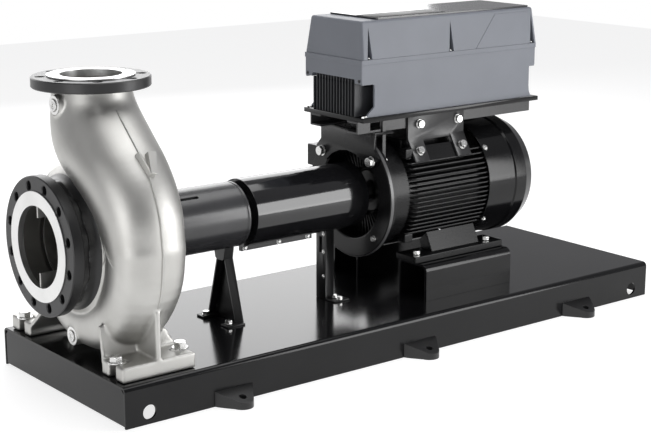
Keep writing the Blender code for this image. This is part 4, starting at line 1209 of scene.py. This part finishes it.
for side_name, side in SIDES:
    piece(f"drive_channel_{side_name}.folded", drive_channel(side), GREY_COAT,
          replaces=[f"drive_channel_{side_name}"])
    stay = [(STAY_X - STAY_HALF, CHANNEL_HIGH - HAIR), *arc((STAY_X, 0.104), STAY_HALF, 180, 360, 8),
            (STAY_X + STAY_HALF, CHANNEL_HIGH - HAIR)]
    piece(f"drive_channel_{side_name}.stay", plate([stay], "y", side * 0.1026, side * 0.1066, edge=0.0006),
          GREY_COAT)
    dressed(f"saddle_bracket_{side_name}", GREY_COAT, 0.0008)
bolts("drive_channels.stay_bolts", [((STAY_X, side * 0.1070, 0.106), (0, side, 0), 0.011)
                                    for side in (-1, 1)])
bolts("saddle_brackets.plate_bolts", [((x, side * 0.1086, 0.192), (0, side, 0), 0.020)
                                      for x in (0.945, 1.085) for side in (-1, 1)])
leg_spot = SADDLE_OUT * (SADDLE_FACE + 0.006) + SADDLE_UP * 0.036
bolts("saddle_brackets.leg_bolts", [((x, side * leg_spot.x, leg_spot.y),
                                     (0, side * SADDLE_OUT.x, SADDLE_OUT.y), 0.020)
                                    for x in (SADDLE_FRONT + 0.025, SADDLE_REAR - 0.025)
                                    for side in (-1, 1)])


# The drive. A cast heat sink with upright fins stands on the base plate. The grey body on it has
# skirts down both flanks, cut off at their front corners, and a proud band where the lid closes.
# Long wedge notches in the lid's sides clear its screws, and a dark plate lies on its top.

DRIVE_PAINT = finish("blue_grey_drive_paint", (0.140, 0.150, 0.174), (0.153, 0.164, 0.190), 0.46,
                     grain=700.0, depth=0.00005)
DARK_GLASS = finish("dark_glossy_top_plate", (0.020, 0.021, 0.024), (0.030, 0.031, 0.035), 0.12,
                    grain=500.0)
SINK_GREY = finish("dark_cast_heat_sink", (0.022, 0.023, 0.026), (0.034, 0.036, 0.040), 0.45,
                   grain=300.0, depth=0.00010)
PLATE_TOP = 0.229
BODY_LOW = 0.319
SEAM = 0.3817
LID_TOP = 0.482
BODY_HALF = 0.120
SINK_REAR = 1.350
LID_FOOT_HALF = 0.1225
LID_TOP_HALF = 0.107
LID_SCREWS = (0.758, 1.047, 1.357)


def fin_block():
    """The heat sink: closed flanks, a slab on top and upright fins open to the front."""
    low, high, front = PLATE_TOP + HAIR, BODY_LOW - HAIR, DRIVE_FRONT + 0.0025
    flank, wall, count, half_fin = 0.0890, 0.0035, 13, 0.0017
    made = [block((0.765, -flank, BODY_LOW - 0.014), (SINK_REAR, flank, high), 0.0005, 1)]
    for side in (-1, 1):
        made.append(block((front, side * flank, low), (SINK_REAR, side * (flank - wall), high), 0.0005, 1))
    pitch = 2 * (flank - wall) / (count + 1)
    for i in range(count):
        y = (i - (count - 1) / 2) * pitch
        near, far = y - half_fin, y + half_fin
        made.append(block((front, near, low), (SINK_REAR - 0.001, far, BODY_LOW - 0.0006), 0.0004, 1))
        made.append(block((front, near, BODY_LOW - 0.004), (0.754, far, BODY_LOW + 0.0095), 0.0004, 1))
    return joined(made)


def drive_body():
    """The body over the fins, notched in front for their tips, with its band and its two skirts."""
    whole = block((DRIVE_FRONT, -BODY_HALF, BODY_LOW), (DRIVE_REAR, BODY_HALF, SEAM), 0.0010)
    notch = block((DRIVE_FRONT - 0.01, -0.0905, BODY_LOW - 0.01), (0.757, 0.0905, BODY_LOW + 0.0105))
    band = block((DRIVE_FRONT - 0.0010, -BODY_HALF - 0.0022, SEAM - 0.0135),
                 (DRIVE_REAR + 0.0010, BODY_HALF + 0.0022, SEAM), 0.0012)
    foot, low, high = PLATE_TOP + HAIR, BODY_LOW - 0.003, SEAM - 0.010
    skirt = [(DRIVE_FRONT + 0.002, high), (DRIVE_FRONT + 0.002, low), (0.770, low),
             *arc((0.770, low - 0.006), 0.006, 90, 0, 5)[1:], (0.776, 0.256), (0.7455, foot), (1.360, foot),
             (1.352, 0.246), (1.350, 0.262), (1.350, low), (DRIVE_REAR - 0.002, low),
             (DRIVE_REAR - 0.002, high)]
    skirts = [plate([skirt], "y", side * 0.1140, side * (BODY_HALF + 0.0004), edge=0.0006)
              for side in (-1, 1)]
    return joined([carved(whole, [notch]), band, *skirts])


def lid_shell():
    """The lid as it is moulded: walls leaning in to the top, with soft edges, less its notches."""
    foot = (DRIVE_FRONT + 0.002, DRIVE_REAR + 0.002, LID_FOOT_HALF, SEAM + 0.0004)
    head = (DRIVE_FRONT + 0.009, DRIVE_REAR - 0.004, LID_TOP_HALF, LID_TOP)
    rings = []
    for part, draw_in in ((0.0, 0.0), (0.5, 0.0), (0.93, 0.0), (0.965, 0.0006), (0.985, 0.0018),
                          (0.996, 0.0036), (1.0, 0.0058)):
        front, rear, half, z = (low + (high - low) * part for low, high in zip(foot, head))
        corner = 0.005
        near, far = front + draw_in + corner, rear - draw_in - corner
        side = half - draw_in - corner
        ring = []
        for centre, first in (((far, side), 0), ((near, side), 90), ((near, -side), 180),
                              ((far, -side), 270)):
            ring += [(x, y, z) for x, y in arc(centre, corner, first, first + 90, 6)]
        rings.append(ring)
    tools = []
    lean = (LID_FOOT_HALF - LID_TOP_HALF) / (LID_TOP - SEAM)
    crease, half_groove = ((1.136, SEAM - 0.002), (1.221, 0.4715), (1.372, 0.4715)), 0.0006
    for side in (-1, 1):
        for x in LID_SCREWS:
            wedge = [(x - 0.0090, SEAM - 0.004), (x + 0.0090, SEAM - 0.004), (x + 0.0035, 0.466)]
            tools.append(plate([wedge], "y", side * 0.0940, side * 0.140))
        for (xa, za), (xb, zb) in zip(crease, crease[1:]):
            along = Vector((xb - xa, zb - za)).normalized() * half_groove
            line = [(xa + along.y, za - along.x), (xb + along.y + along.x, zb - along.x + along.y),
                    (xb - along.y + along.x, zb + along.x + along.y), (xa - along.y, za + along.x)]
            groove = plate([line], "y", side * 0.1213, side * 0.140)
            for vertex in groove.vertices:
                vertex.co.y -= side * lean * (vertex.co.z - SEAM)
            tools.append(groove)
    return carved(loft(rings), tools)


piece("drive_heat_sink.fins", fin_block(), SINK_GREY, replaces=["drive_heat_sink"])
piece("drive_body.shell", drive_body(), DRIVE_PAINT, replaces=["drive_body"])
piece("drive_lid.shell", lid_shell(), DRIVE_PAINT, replaces=["drive_lid"], smooth=25)
dressed("control_panel", MOULDED_BLACK, 0.0006)
top_front, top_rear = DRIVE_FRONT + 0.066, DRIVE_REAR - 0.012
top_outline = [(top_front, -0.1005), (top_rear, -0.1005), (top_rear, 0.0985), (top_front, 0.0985)]
panel_window = [(0.799, -0.094), (0.799, -0.010), (1.050, -0.010), (1.050, -0.094)]
piece("drive_lid.top_plate", plate([softened(top_outline, 0.006, 4), panel_window], "z", LID_TOP + 0.0001,
                                   LID_TOP + 0.0048, edge=0.0005), DARK_GLASS)
screws("drive_lid.screws", [((x, side * 0.1165, SEAM + 0.0022), UP, 0.0036)
                            for x in LID_SCREWS for side in (-1, 1)])
screws("drive_body.corner_screws", [((DRIVE_FRONT, side * 0.110, 0.326), (-1, 0, 0), 0.0034)
                                    for side in (-1, 1)], MOULDED_BLACK)
bolts("drive_mounting_plate.screws", [((x, side * 0.117, PLATE_TOP + 0.0002), UP, 0.0065)
                                      for x in (0.7385, 0.7490) for side in (-1, 1)])
